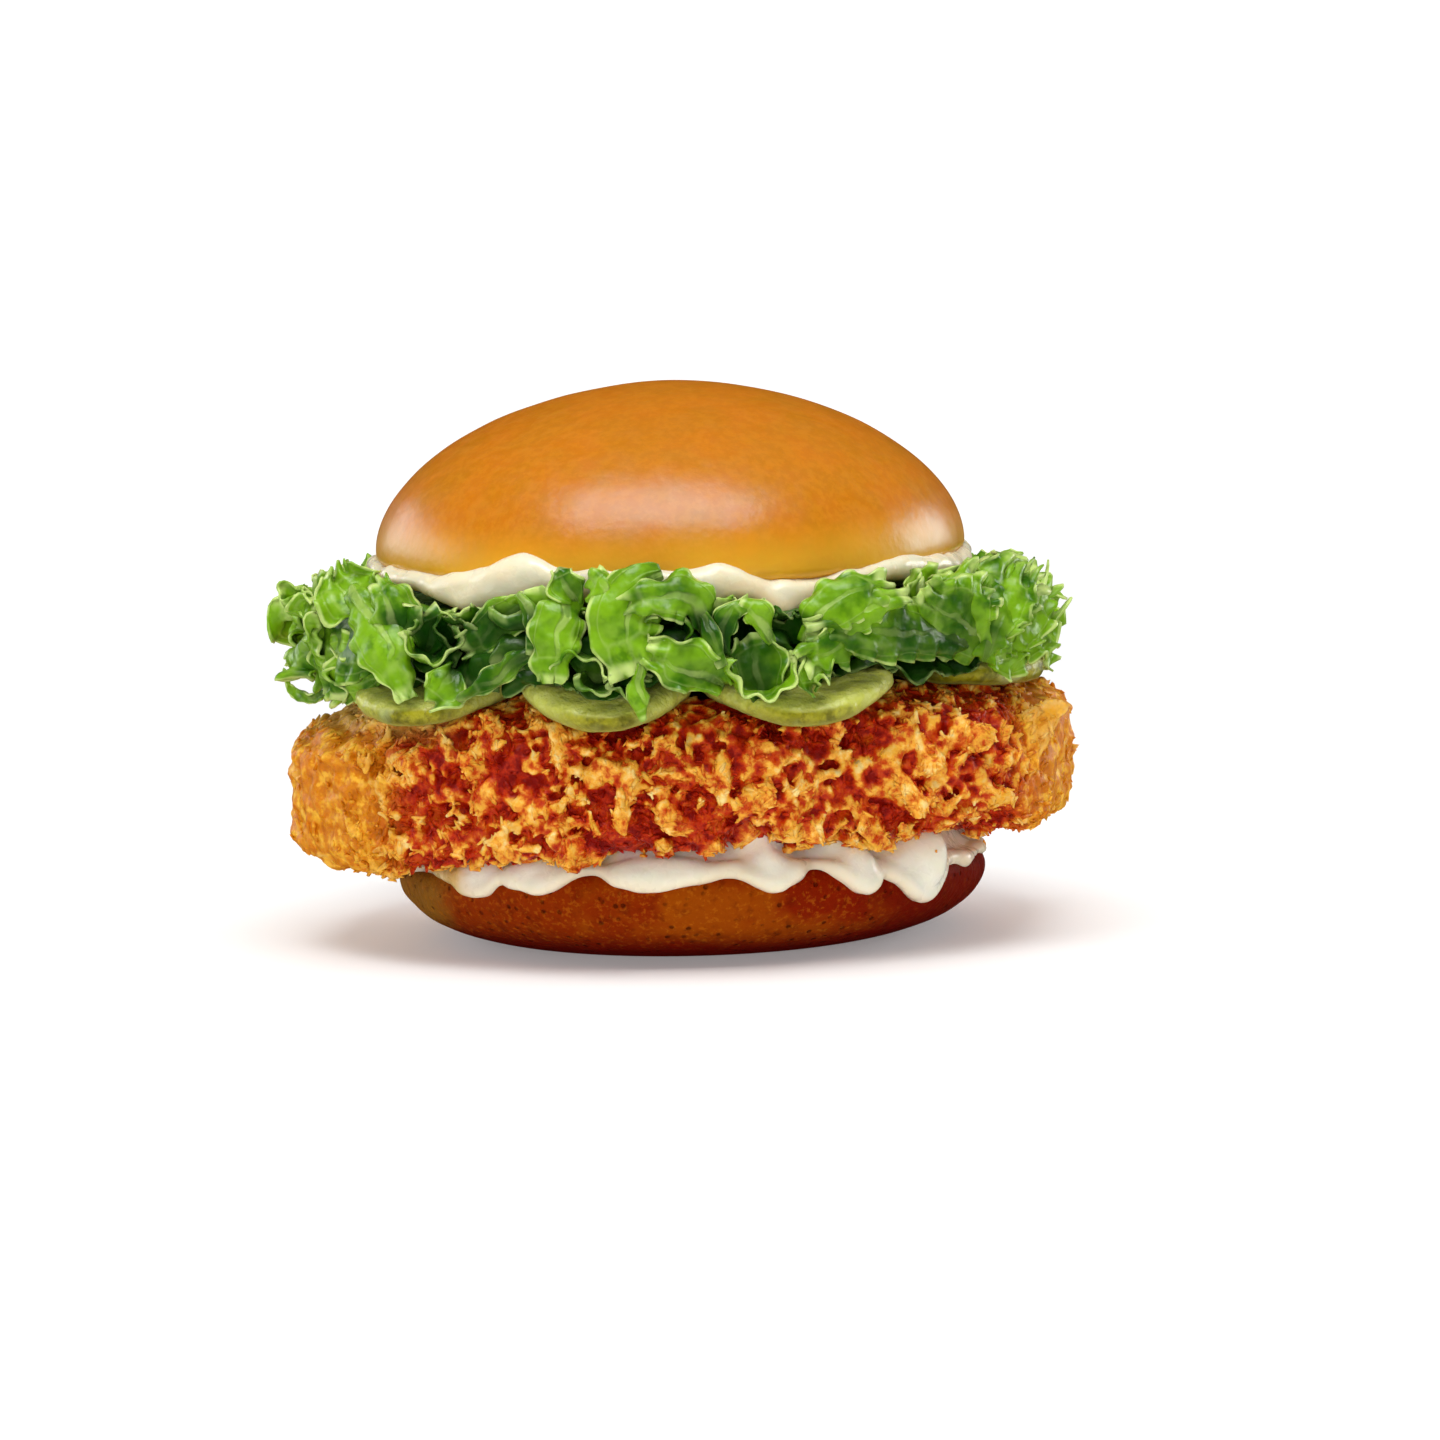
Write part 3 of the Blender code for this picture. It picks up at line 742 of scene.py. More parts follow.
def heel_crust(settings):
    """Browned base: dark, golden in patches, with fine pores, and darker towards its underside: partly its
    own browning, partly painted shade.
    """
    look = Look("heel_crust", Specular_IOR_Level=0.02)
    height, side = look.part("Z"), look.part("X")
    band = look.between(height, 1.5, 5.5) * (1 - look.between(height, 12.0, 16.0, 0.0, 0.5))
    leftward = 1 - look.between(look.shifted(side, 12, 14), -36.0, 34.0, 0.0, 0.85)
    rightmost = look.between(look.shifted(side, 8, 9), 24.0, 36.0)
    oiled = look.between(look.shifted(side, 5, 5), -36.0, -42.0)
    # Darker towards the base: partly the crust's own browning, partly painted shade under the bun.
    low = 1 - look.between(look.shifted(height, 3, 5), 1.5, 7.5)
    golden = band * (0.3 * leftward + 0.6 * look.patches(15, 0.45, 0.62, 3, 0.55)) * (1 - 0.85 * rightmost)
    grain = look.patches(1.0, 0.52, 0.66, 3, 0.7) * band * (1 - 0.7 * rightmost)
    pores = (1 - look.between(look.cells(1.7), 0.1, 0.3)) * look.patches(4.5, 0.42, 0.6)
    colour = look.layers(
        settings.base,
        (golden, settings.golden),
        (low * 0.7, display(88, 2, 0)),
        (rightmost * 0.6, display(94, 4, 0)),
        (oiled * band * 0.7, display(138, 104, 30)),
        (look.patches(2.2, 0.5, 0.72, 4, 0.6) * 0.45, display(84, 18, 0)),
        (grain * 0.26, display(206, 118, 24)),
        (pores * 0.65, display(56, 8, 0)),
    )
    relief = look.relief((pores * -1.0 + 0.5 * look.noise(0.9, 4), 0.6, 0.9), (look.noise(8, 3), 0.6, 0.6))
    return look.paint(Base_Color=colour, Roughness=look.uneven(0.5, 0.66, 3), Normal=relief)


def make_bun(settings):
    """The crown and the heel, each a closed skin with its crust."""
    rings = crown_points(288, 90)
    flat = rings.reshape(-1, 3)
    outward = unit(flat - np.array([(CROWN_LOW.x + CROWN_HIGH.x) / 2, 0, CROWN_LOW.z]))
    swell = 0.12 * MM * lattice_noise(flat, 26 * MM, 1) + 0.08 * MM * lattice_noise(flat, 7 * MM, 2)
    swell = swell * smooth_step(from_middle(flat), 1 * MM, 12 * MM)
    crown = closed_rings("crown", rings + (outward * swell[:, None]).reshape(rings.shape))
    finished("crown", crown, crown_crust(settings), "crown_crust", "bun_crown")

    rings = heel_points(256, 44)
    flat = rings.reshape(-1, 3)
    outward = unit(flat * [1, 1, 0])
    rough = 0.4 * MM * layered_noise(flat, 12 * MM, 3, 5) * smooth_step(flat[:, 2], 0.0, 4 * MM)
    heel = closed_rings("heel", rings + (outward * rough[:, None]).reshape(rings.shape))
    finished("heel", heel, heel_crust(settings), "heel_crust", "bun_heel")


# ---- sauces

# In each table, a place is (direction and half width in degrees, size); a bay's size is negative.
LOWER_MEAN = 0.8 * MM  # how far the lower sauce hangs below the heel's rim
LOWER_HANGS = (  # its drips and bays
    (-135, 5.5, 2.2 * MM), (-128.8, 1.8, -0.8 * MM), (-121, 5, 1.2 * MM), (-111, 4, -1.9 * MM),
    (-98, 8, 1.3 * MM), (-83.5, 3.5, -1.0 * MM), (-75.5, 4, 1.7 * MM), (-66.5, 3.6, -2.3 * MM),
    (-56.5, 4.2, 2.2 * MM), (-52, 1.4, -0.7 * MM), (-42, 6, 4.2 * MM), (-29, 5, -1.8 * MM),
    (-12, 10, -1.6 * MM), (10, 8, -1.0 * MM), (36, 8, 1.6 * MM), (62, 6, -1.2 * MM), (96, 9, 1.8 * MM),
    (126, 7, -1.4 * MM), (150, 7, 1.4 * MM), (176, 12, -1.5 * MM), (-156, 9, -2.2 * MM),
)
LOWER_FILM = ((-143, 6, 1.0),)  # where the lower sauce is a bare film
SAUCE_PEAKS = (  # where the lower sauce wells up over the fillet's rim
    (-77, 4.5, 5.2 * MM), (-61, 3.5, 3.4 * MM), (-36, 9, 4.2 * MM), (-14, 8, 2.5 * MM), (70, 6, 3 * MM),
    (130, 7, 3.4 * MM),
)
LOWER_START = 34 * MM  # the lower sauce starts this far from the middle, under the fillet
LOWER_CORNER = 13.6 * MM  # height on the heel's rim that its hanging is measured from
LOWER_LIP = 1.3 * MM  # its rounded edge is this long
UPPER_RISE = 1.1 * MM  # how far the upper sauce rises over the crown's lower rim
UPPER_CRESTS = (  # where it stands up against the crown
    (-133, 6, 0.8 * MM), (-120, 8, 4.2 * MM), (-103, 9, 2.4 * MM), (-92, 6, 1.4 * MM),
    (-81.5, 5.5, 2.8 * MM), (-62, 9, -0.5 * MM), (-40, 10, 1.6 * MM), (0, 9, 0.3 * MM),
    (30, 10, 2.2 * MM), (62, 8, 0.4 * MM), (92, 9, 2.6 * MM), (126, 9, 1.2 * MM), (160, 8, 0.4 * MM),
)
UPPER_FALL = 1.9 * MM  # how far it hangs under that rim
UPPER_HANGS = (  # its drips and bays over the lettuce
    (-131, 9, 3.0 * MM), (-101, 4, -1.3 * MM), (-84, 4, 1.9 * MM), (-69, 5.5, 4.2 * MM),
    (-47, 6, -0.6 * MM), (-18, 8, 1.4 * MM), (14, 8, 1.0 * MM), (44, 10, 2.2 * MM), (74, 8, 1.0 * MM),
    (104, 9, 2.4 * MM), (140, 9, 1.4 * MM), (170, 8, 0.8 * MM),
)
UPPER_OIL = ((-72, 9, 3.5 * MM), (-112, 8, 1.5 * MM), (100, 12, 2 * MM))  # where grease gathers under the roll, painted yellower and darker: partly that grease, partly painted shade
UPPER_LEVEL = 63.2 * MM  # height of the crown's lower rim over the middle
UPPER_CORE = 47 * MM  # the roll's bulge starts this far from the middle
UPPER_HOLE = 38 * MM  # inside this, the roll closes flat
SAUCE_COLUMNS = 540


def sauce_look(settings):
    """Thick cream sauce: cool in the middle, warm at its edges, painted paler low down as painted light where
    the fillet shades it, and yellower and darker where it is thin and under the upper roll, partly a greasy
    film and partly painted shade.
    """
    look = Look(
        "cream_sauce", Coat_Weight=0.3, Coat_Roughness=0.16, Subsurface_Weight=0.35, Subsurface_Scale=0.003,
        Subsurface_Radius=(1.0, 0.7, 0.4),
    )
    thin = look.attribute("thin")
    # Yellower and darker at the lower edges and under the upper roll: partly a greasy film, partly painted
    # shade.
    oily = look.between(look.shifted(thin, 0.7, 5, 3), 0.45, 1.1)
    colour = look.layers(
        settings.pale,
        # Painted light: the same cream turns paler low down, where the fillet shades the lower sauce.
        (look.between(look.part("Z"), 30.0, 45.0), settings.cream),
        (look.patches(6, 0.4, 0.66) * 0.4, display(232, 232, 210)),
        (look.between(thin, 0.15, 0.5) * 0.5, display(240, 210, 164)),
        (oily * 0.8, settings.oil),
    )
    relief = look.relief((look.noise(2.2, 3, 0.5, distortion=0.6), 0.25, 0.6))
    roughness = look.between(look.noise(3), 0.35, 0.65, 0.24, 0.36)
    return look.paint(Base_Color=colour, Roughness=roughness, Normal=relief)


def ripples(angles, seed):
    """Small uneven values round the burger, about 7 mm from one to the next."""
    ring = 48 * MM * np.stack([np.cos(angles), np.sin(angles), 0 * angles], axis=1)
    return layered_noise(ring, 7 * MM, 2, seed)


def heel_line(count):
    """The heel's section from its cut face over its rim and down its side: distances out and heights."""
    cut = np.linspace(LOWER_START, HEEL_CUT, count)[:-1]
    rim = heel_rim(np.linspace(RIGHT_ANGLE, 0, count))
    side = heel_side(np.linspace(RIGHT_ANGLE, 0.3, 3 * count)[1:])
    heights = np.concatenate([np.full(len(cut), HEEL_HEIGHT), rim[1], side[1]])
    return np.concatenate([cut, rim[0], side[0]]), heights


def lower_rings(angles, rows, thickness):
    """The lower sauce as rings, a skin over the heel's rim that ends in a rounded lip with drips and
    bays, and how far each point is from its edge."""
    out, height = heel_line(30)
    along = np.concatenate([[0], np.cumsum(np.hypot(np.diff(out), np.diff(height)))])
    square_out, square_up = -np.gradient(height, along), np.gradient(out, along)
    size = np.hypot(square_out, square_up)
    corner = np.interp(LOWER_CORNER, height[::-1], along[::-1])
    hang = LOWER_MEAN + swelling(angles, LOWER_HANGS) + 0.3 * MM * ripples(angles, 6)
    reach = np.linspace(0, 1, rows)[:, None] ** 0.6 * (corner + hang)
    left = corner + hang - reach
    lip = np.sqrt(np.clip(1 - (1 - np.clip(left / LOWER_LIP, 0, 1)) ** 2, 0, 1))
    welled = 2.5 * MM + 0.9 * swelling(angles, SAUCE_PEAKS)
    plump = 0.22 * np.clip(hang, 0, None) * np.exp(-((left - 2 * MM) / (2 * MM)) ** 2)
    full = thickness + welled * smooth_step(left, 2 * MM, 6.5 * MM) + plump

    def skin(lift):
        """Distances out and heights of a skin that is lifted off the heel."""
        return tuple(
            np.interp(reach, along, line) + lift * np.interp(reach, along, square / size)
            for line, square in ((out, square_out), (height, square_up))
        )

    (over, over_height), (under, under_height) = skin(full * lip), skin(np.full_like(full, -0.5 * MM))
    radii = np.concatenate([0 * over[:1], over, under[::-1], 0 * over[:1]])
    heights = np.concatenate([over_height[:1], over_height, under_height[::-1], under_height[:1]])
    left = np.concatenate([left[:1], left, left[::-1], left[:1]])
    return heel_round(radii, heights, angles), left


def upper_rings(angles, rows, bulge):
    """The upper sauce as rings, a plump roll round the crown's lower rim with drips below and crests
    above, and how far each point is from its lower edge."""
    fall = UPPER_FALL + swelling(angles, UPPER_HANGS) + 0.5 * MM * ripples(angles, 4)
    rise = 1.08 * (UPPER_RISE + swelling(angles, UPPER_CRESTS)) + 0.5 * MM * ripples(angles, 5)
    turn = np.linspace(-RIGHT_ANGLE, RIGHT_ANGLE, rows)[:, None]
    upward = np.where(turn < 0, -1, 1) * np.abs(np.sin(turn)) ** 0.9
    half = (rise + fall) / 2
    roll = UPPER_CORE + (bulge + 0.22 * (fall - UPPER_FALL)) * np.abs(np.cos(turn)) ** 0.8
    flat = np.full((1, len(angles)), UPPER_HOLE)
    low, high = np.full_like(flat, -5.4 * MM), np.full_like(flat, 0.3 * MM)
    reach = np.concatenate([0 * flat, flat, roll, flat, 0 * flat]) * bun_round(angles)
    heights = np.concatenate([low, low, (rise - fall) / 2 + half * upward, high, high])
    left = np.concatenate([0 * low, 0 * low, (upward + 1) * half, 0 * low, 0 * low])
    x, y = reach * np.cos(angles), reach * np.sin(angles)
    z = heights + UPPER_LEVEL + y * math.sin(CROWN_TILT)
    return np.stack([x + (CROWN_LOW.x + CROWN_HIGH.x) / 2, y, z], axis=-1), left


def make_sauces(settings):
    """The two sauces, with soft lumps where they show."""
    material = sauce_look(settings)
    angles = directions(SAUCE_COLUMNS, -math.pi)
    upper, upper_left = upper_rings(angles, 40, settings.bulge)
    lower, lower_left = lower_rings(angles, 46, settings.thickness)
    # High on the upper roll's underside, where the sauce is painted yellower and darker: partly a greasy
    # film, partly painted shade.
    upper_thin = 1 - upper_left / (3 * MM + swelling(angles, UPPER_OIL))
    lower_thin = 0.5 * (1 - lower_left / (3 * MM)) + swelling(angles, LOWER_FILM)
    for name, rings, thin, node, seed in (
        ("upper_sauce", upper, upper_thin, "sauce_upper", 3),
        ("lower_sauce", lower, lower_thin, "sauce_lower", 8),
    ):
        mesh = closed_rings(name, rings, thin=np.clip(thin, 0, 1))
        points, normals = points_of(mesh), normals_of(mesh)
        lumps = lattice_noise(points, 8 * MM, seed) + 0.5 * lattice_noise(points, 3.5 * MM, seed + 1)
        lumps = lumps * smooth_step(from_middle(points), 45 * MM, 49 * MM)
        set_points(mesh, points + normals * (settings.lump * lumps)[:, None])
        finished(name, mesh, material, "sauce", node)


# ---- fillet

PLACED_FLAKES = (  # in front: x, height, length and width in mm, and lean in degrees
    (-47.3, 29.5, 5.4, 3.6, 70), (-45.0, 20.2, 8.9, 2.2, 28), (-30.4, 33.0, 11.0, 3.6, -4),
    (-29.6, 39.4, 5.7, 2.7, 112), (-28.3, 21.2, 6.6, 2.2, -30), (-25.0, 28.4, 4.7, 2.2, 45),
    (-20.2, 27.5, 7.1, 2.2, 25), (-19.1, 37.3, 8.2, 2.7, 100), (-16.8, 21.0, 7.8, 6.3, 10),
    (-12.6, 33.6, 6.3, 4.0, 20), (-9.1, 30.0, 9.1, 3.1, 74), (-1.8, 25.5, 7.8, 4.0, -52),
    (6.2, 32.0, 9.7, 3.1, 86), (11.4, 28.7, 7.2, 4.7, 30), (20.4, 31.0, 9.7, 1.7, 14),
    (20.6, 22.1, 5.3, 2.7, -20), (23.0, 35.8, 10.0, 2.8, 46), (30.1, 21.5, 11.0, 3.5, -40),
    (33.7, 29.6, 15.0, 4.2, -41), (38.7, 34.3, 9.0, 3.3, -56), (39.6, 31.2, 6.0, 4.2, -18),
    (46.1, 35.9, 7.6, 5.0, -28), (49.2, 26.0, 8.0, 4.5, 20), (57.3, 36.0, 10.5, 6.2, 50),
)
CRUST_TRIANGLES = 190000  # the coating is thinned out of sight towards this many


def curled_flake(name, width, thickness, curl, index, seed, fineness=3, rough=0.08):
    """A rounded flake of length 1, bent, twisted and lumpy in its own way."""
    bm = bmesh.new()
    bmesh.ops.create_icosphere(bm, subdivisions=fineness, radius=0.5)
    mesh = bpy.data.meshes.new(name)
    bm.to_mesh(mesh)
    bm.free()
    points = points_of(mesh)
    x, y, z = (np.sign(points) * np.abs(points * 2) ** 0.8 / 2).T
    y, z = y * width * (1 + 0.45 * math.sin(index * 2.1) * x), z * thickness
    z = z + curl * (x**2 - 0.08) * (1 + 0.4 * math.sin(index))
    y = y + math.sin(index * 1.3) * 0.7 * x**2
    twist = 1.1 * math.sin(index * 3.7 + 1) * x
    turned_y, turned_z = y * np.cos(twist) - z * np.sin(twist), y * np.sin(twist) + z * np.cos(twist)
    points = np.stack([x, turned_y, turned_z], axis=1)
    salt = np.array([3.7 * index + seed, 0, 0])
    for axis in range(3):
        points[:, axis] += rough * lattice_noise(points + salt, 0.3, seed + 5 * index + axis)
        points[:, axis] += rough * 0.5 * lattice_noise(points + salt, 0.15, seed + 5 * index + axis + 3)
    set_points(mesh, points)
    return mesh


def curled_shapes(name, width, thickness, curl, count, seed, fineness=3, rough=0.08):
    """A collection of flakes for a pattern to scatter."""
    collection = bpy.data.collections.new(name)
    for index in range(count):
        flake = curled_flake(f"{name}_{index}", width, thickness, curl, index, seed, fineness, rough)
        collection.objects.link(bpy.data.objects.new(flake.name, flake))
    return collection


def remove_shapes(collection):
    for shape in list(collection.objects):
        mesh = shape.data
        bpy.data.objects.remove(shape)
        bpy.data.meshes.remove(mesh)
    bpy.data.collections.remove(collection)


def coating_look(settings):
    """Fried coating: golden flakes over red-brown crevices, plain and golden at the fillet's ends; raised
    parts are partly painted light and crevices partly painted shade, and the top of the left end is painted
    lighter where leaves shade it.
    """
    look = Look(
        "fried_coating", Specular_IOR_Level=0.22, Coat_Weight=0.06, Coat_Roughness=0.18,
        Subsurface_Weight=0.06, Subsurface_Scale=0.0012,
    )
    side = look.part("X")
    ends = look.between(look.math("ABSOLUTE", look.shifted(side - 4, 6, 9)), 47.0, 56.0)
    # Painted light: the top of the left end is lightened where the leaves above shade it, and joins the plain
    # ends.
    upper_end = look.between(look.part("Z"), 36.0, 41.0) * look.between(side, -34.0, -46.0)
    ends = look.math("MAXIMUM", ends, upper_end)
    fine, flecks = look.noise(1.0, 4, 0.65), look.noise(2.3, 3, 0.6) - 0.5
    # Painted light and shade: ridges and flakes turn golden and hollows dark red-brown, besides the coating's
    # own variation.
    light = 0.24 + look.attribute("gold") * 0.3 + look.attribute("ridge") * 0.48 + ends * 0.24
    light = look.shifted(light, 0.6, 9, 3) + 0.8 * (fine - 0.5) + 1.2 * flecks
    fried = look.ramp(
        light,
        (0.04, settings.crevice), (0.24, display(190, 42, 4)), (0.44, settings.coating), (0.7, settings.peak),
        (0.98, display(255, 228, 150)),
    )
    yellow = look.patches(4, 0.42, 0.62, 3) * look.between(light, 0.5, 0.7)
    colour = look.layers(
        fried,
        (yellow * 0.55, display(226, 164, 34)),
        (ends * (0.45 + 0.9 * (fine - 0.3)), display(226, 152, 12)),
        (upper_end * 0.85, display(255, 214, 112)),
        (ends * look.between(flecks, 0.02, 0.14) * 0.75, display(255, 196, 58)),
        (ends * look.between(flecks, -0.05, -0.16) * 0.5, display(190, 98, 4)),
    )
    relief = look.relief((look.noise(0.7, 4, 0.7), 0.3, 0.8), (look.cells(1.5, "SMOOTH_F1"), 0.3, 0.4))
    return look.paint(Base_Color=colour, Roughness=look.uneven(0.26, 0.5, 1.5, 3), Normal=relief)


def placed_flakes(tree, seed):
    """The largest flakes, each laid on the front of the body where a line from the front meets it."""
    flakes = []
    for index, (x, height, span, width, lean) in enumerate(PLACED_FLAKES):
        spot, square, _, _ = tree.ray_cast(Vector((x * MM, -0.2, height * MM)), Vector((0, 1, 0)))
        if spot is None:
            raise RuntimeError(f"flake {index} misses the fillet")
        flake = curled_flake(f"placed_{index}", width / span, 0.62 * width / span, 0.22, index, seed)
        square = (square + Vector((0, -0.6, 0))).normalized()
        across = Vector((math.cos(math.radians(lean)), 0, math.sin(math.radians(lean))))
        across = (across - square * across.dot(square)).normalized()
        turned = Matrix((across, square.cross(across), square)).transposed().to_4x4()
        place = Matrix.Translation(spot + square * 0.9 * MM)
        flake.transform(place @ turned @ Matrix.Scale(span * MM, 4))
        flakes.append(flake)
    return flakes


def plain_ends(points):
    """1 at the fillet's two ends, whose coating is plain, and 0 between them."""
    return smooth_step(np.abs(points[:, 0] - 2 * MM), 52 * MM, 59 * MM)


def meat_points(points, normals, settings):
    """The meat's surface inside the solid's: cut back at its upper left corner, lifted where the lower
    sauce wells up and lowered along the rest of its rim."""
    inset = settings.inset * (1 - 0.6 * np.abs(normals[:, 2]))
    meat = points - normals * inset[:, None]
    corner = smooth_step(-points[:, 0], 48 * MM, 58 * MM) * smooth_step(points[:, 2], 33 * MM, 38 * MM)
    meat[:, 0] += 4.5 * MM * corner
    low = 1 - smooth_step(points[:, 2], 19 * MM, 29 * MM)
    rim = low * smooth_step(from_middle(points), 44 * MM, 50 * MM)
    meat[:, 2] += (swelling(np.arctan2(points[:, 1], points[:, 0]), SAUCE_PEAKS) - settings.skirt) * rim
    return meat


def crags(points):
    """How far the coating stands out: in ridges between the fillet's ends, gritty at them."""
    warped = points + 1.6 * MM * vector_noise(points, 5 * MM, 60)
    ridges = 1 - np.abs(lattice_noise(warped, 5.2 * MM, 71)) * 1.9
    fine = 1 - np.abs(lattice_noise(warped, 2.6 * MM, 72)) * 1.9
    craggy = 1.3 * MM * ridges + 0.8 * MM * fine - 0.9 * MM
    gritty = 1.0 * MM * layered_noise(points, 3 * MM, 2, 77) + 1.1 * MM
    plain = plain_ends(points)
    return (1 - 0.7 * plain) * craggy + plain * gritty


def scattered_flakes(pattern, meat, points, material, settings):
    """Broad flakes, slim ones and grains over the meat's sides, closest where the coating is lively."""
    shown = smooth_step(from_middle(points), 38 * MM, 46 * MM)
    lively = np.clip(0.5 + 0.9 * lattice_noise(points, 12 * MM, 75), 0, 1)
    plain = plain_ends(points)
    kinds = (  # shapes, spacing, least and greatest length, tilt, and how many there are where
        (("broad_flake", 0.5, 0.32, 0.3, 7, 3), 2.9, 0.8, 1.3, 0.25, 1 - 0.9 * plain),
        (("slim_flake", 0.32, 0.26, 0.35, 9, 31), 1.05, 0.5, 1.2, 0.35, lively * (1 - 0.85 * plain)),
        (("grain", 0.6, 0.45, 0.5, 5, 57, 2), 0.7, 0.2, 0.45, 0.8, lively * (1 - 0.5 * plain)),
    )
    flakes = []
    for kind, spacing, low, high, tilt, share in kinds:
        shapes = curled_shapes(*kind)
        ground = meat.copy()
        set_attributes(ground, chosen=shown * share)
        flakes.append(pattern.run(
            ground, Shapes=shapes, Spacing=settings.spacing * spacing, Smallest=settings.flake * low,
            Largest=settings.flake * high, Tilt=tilt, Lift=0.9 * MM, Seed=settings.seed + len(flakes),
            Material=material,
        ))
        remove_shapes(shapes)
    return flakes


def make_fillet(settings):
    """The coating: one skin round the meat and its flakes, with slivers on it."""
    material = coating_look(settings)
    pattern = scatter_pattern()
    body = softened("fillet", 0.9 * MM, 6)
    points, normals = points_of(body), normals_of(body)
    meat = meat_points(points, normals, settings)
    set_points(body, meat)
    flakes = scattered_flakes(pattern, body, points, material, settings)
    set_points(body, meat + normals * crags(points)[:, None])
    body_tree = tree_of(body)
    flakes = joined(*flakes, *placed_flakes(body_tree, 90 + settings.seed))
    flake_tree = tree_of(flakes)
    crust = with_modifiers(
        joined(body, flakes),
        ("REMESH", {"mode": "VOXEL", "voxel_size": settings.voxel}),
        ("SMOOTH", {"factor": 0.5, "iterations": 1}),
    )
    points, normals = points_of(crust), normals_of(crust)
    points = points + normals * (0.16 * MM * layered_noise(points, 1.6 * MM, 2, 80))[:, None]
    set_points(crust, points)
    hidden = 1 - smooth_step(from_middle(points), 36 * MM, 42 * MM)
    crust = thinned(crust, 1 - 0.88 * float(np.mean(hidden)), hidden)
    crust = thinned(crust, min(1, CRUST_TRIANGLES / triangles(crust)))
    points = points_of(crust)
    # How far each point stands out, for painted light on ridges and flakes and painted shade in hollows.
    over, onto = distances(body_tree, points), distances(flake_tree, points)
    rise = over / (3 * MM)
    ridge = np.clip((rise - blurred(crust, rise, 16)) * 3, -1, 1)
    set_attributes(crust, gold=smooth_step(over - onto, -0.6 * MM, 1.4 * MM), ridge=ridge)
    finished("fried_fillet", crust, material, "fried_crumb", "fillet")
    fry_crust(pattern, crust, material)


def fry_crust(pattern, crust, material):
    """Small crisp slivers that stand on the coating, in two pieces: left and right."""
    slivers = curled_shapes("sliver", 0.34, 0.26, 0.5, 6, 71, 1, 0.04)
    points = points_of(crust)
    shown = smooth_step(from_middle(points), 44 * MM, 50 * MM)
    lively = np.clip(0.6 + 0.9 * lattice_noise(points, 7 * MM, 76), 0, 1)
    chosen = shown * lively * (1 - 0.8 * plain_ends(points))
    for name, half, seed in (("crisp_left", points[:, 0] < 0, 21), ("crisp_right", points[:, 0] >= 0, 22)):
        ground = crust.copy()
        set_attributes(ground, chosen=chosen * half)
        crisp = pattern.run(
            ground, Shapes=slivers, Spacing=1.0 * MM, Smallest=0.8 * MM, Largest=2.4 * MM, Tilt=0.5,
            Lift=0.12 * MM, Seed=seed, Material=material,
        )
        places = points_of(crisp)
        gold = np.clip(0.55 + 0.8 * lattice_noise(places, 3 * MM, 83), 0, 1)
        ridge = np.clip(0.3 + 0.6 * lattice_noise(places, 1.6 * MM, 84), -0.4, 0.8)
        set_attributes(crisp, gold=gold, ridge=ridge)
        finished(name, crisp, material, "fried_crumb")
    remove_shapes(slivers)


# ---- pickles


def pickle_look(settings):
    """Wet pickled cucumber: mottled olive skin round translucent flesh with seeds; its rim has a painted
    highlight where it faces up and painted shade where it faces down.
    """
    look = Look(
        "pickle_slice", Coat_Weight=0.2, Coat_Roughness=0.2, Subsurface_Weight=0.2, Subsurface_Scale=0.002,
        Subsurface_Radius=(0.8, 1.0, 0.3),
    )
    out, lie = look.attribute("out"), look.attribute("lie")
    skin = look.layers(
        settings.skin,
        (look.patches(2.4, 0.42, 0.62, 3, 0.6) * 0.75, display(184, 176, 30)),
        (look.patches(4, 0.5, 0.64, 3, 0.6) * 0.75, display(96, 94, 2)),
        (look.patches(11, 0.54, 0.68) * 0.75, display(196, 210, 140)),
        (look.patches(1.1, 0.5, 0.7, 3, 0.7) * 0.5, display(92, 82, 2)),
    )
    streaks = look.between(look.noise(1.2, 3, 0.6, distortion=1.0), 0.4, 0.66)
    seeds = 1 - look.between(look.cells(3.4), 0.16, 0.3)
    seeds = seeds * look.between(out, 0.2, 0.32) * (1 - look.between(out, 0.56, 0.66))
    flesh = look.layers(
        settings.flesh, (streaks * 0.5, display(206, 210, 124)), (seeds * 0.7, display(214, 208, 150))
    )
    rim = look.between(look.shifted(out, 0.03, 2), 0.93, 0.975)
    # Painted light: the rim is lighter where the slice faces up and darker where it faces down.
    lit = look.between(look.shifted(lie, 0.5, 3), 0.3, 0.7) * rim
    under = look.between(lie, -0.7, -0.1, 1.0, 0.0)
    colour = look.layers(
        flesh, (rim, skin), (lit * 0.75, display(216, 216, 112)), (under * 0.5, display(84, 70, 2))
    )
    swells, grain = look.noise(3.2, 3, 0.6), look.noise(1.1, 3, 0.6)
    relief = look.relief((swells, 1.2, 0.7), (grain, 0.3, 0.6), (seeds, 0.3, 0.5))
    return look.paint(Base_Color=colour, Roughness=look.uneven(0.3, 0.5, 2), Normal=relief)


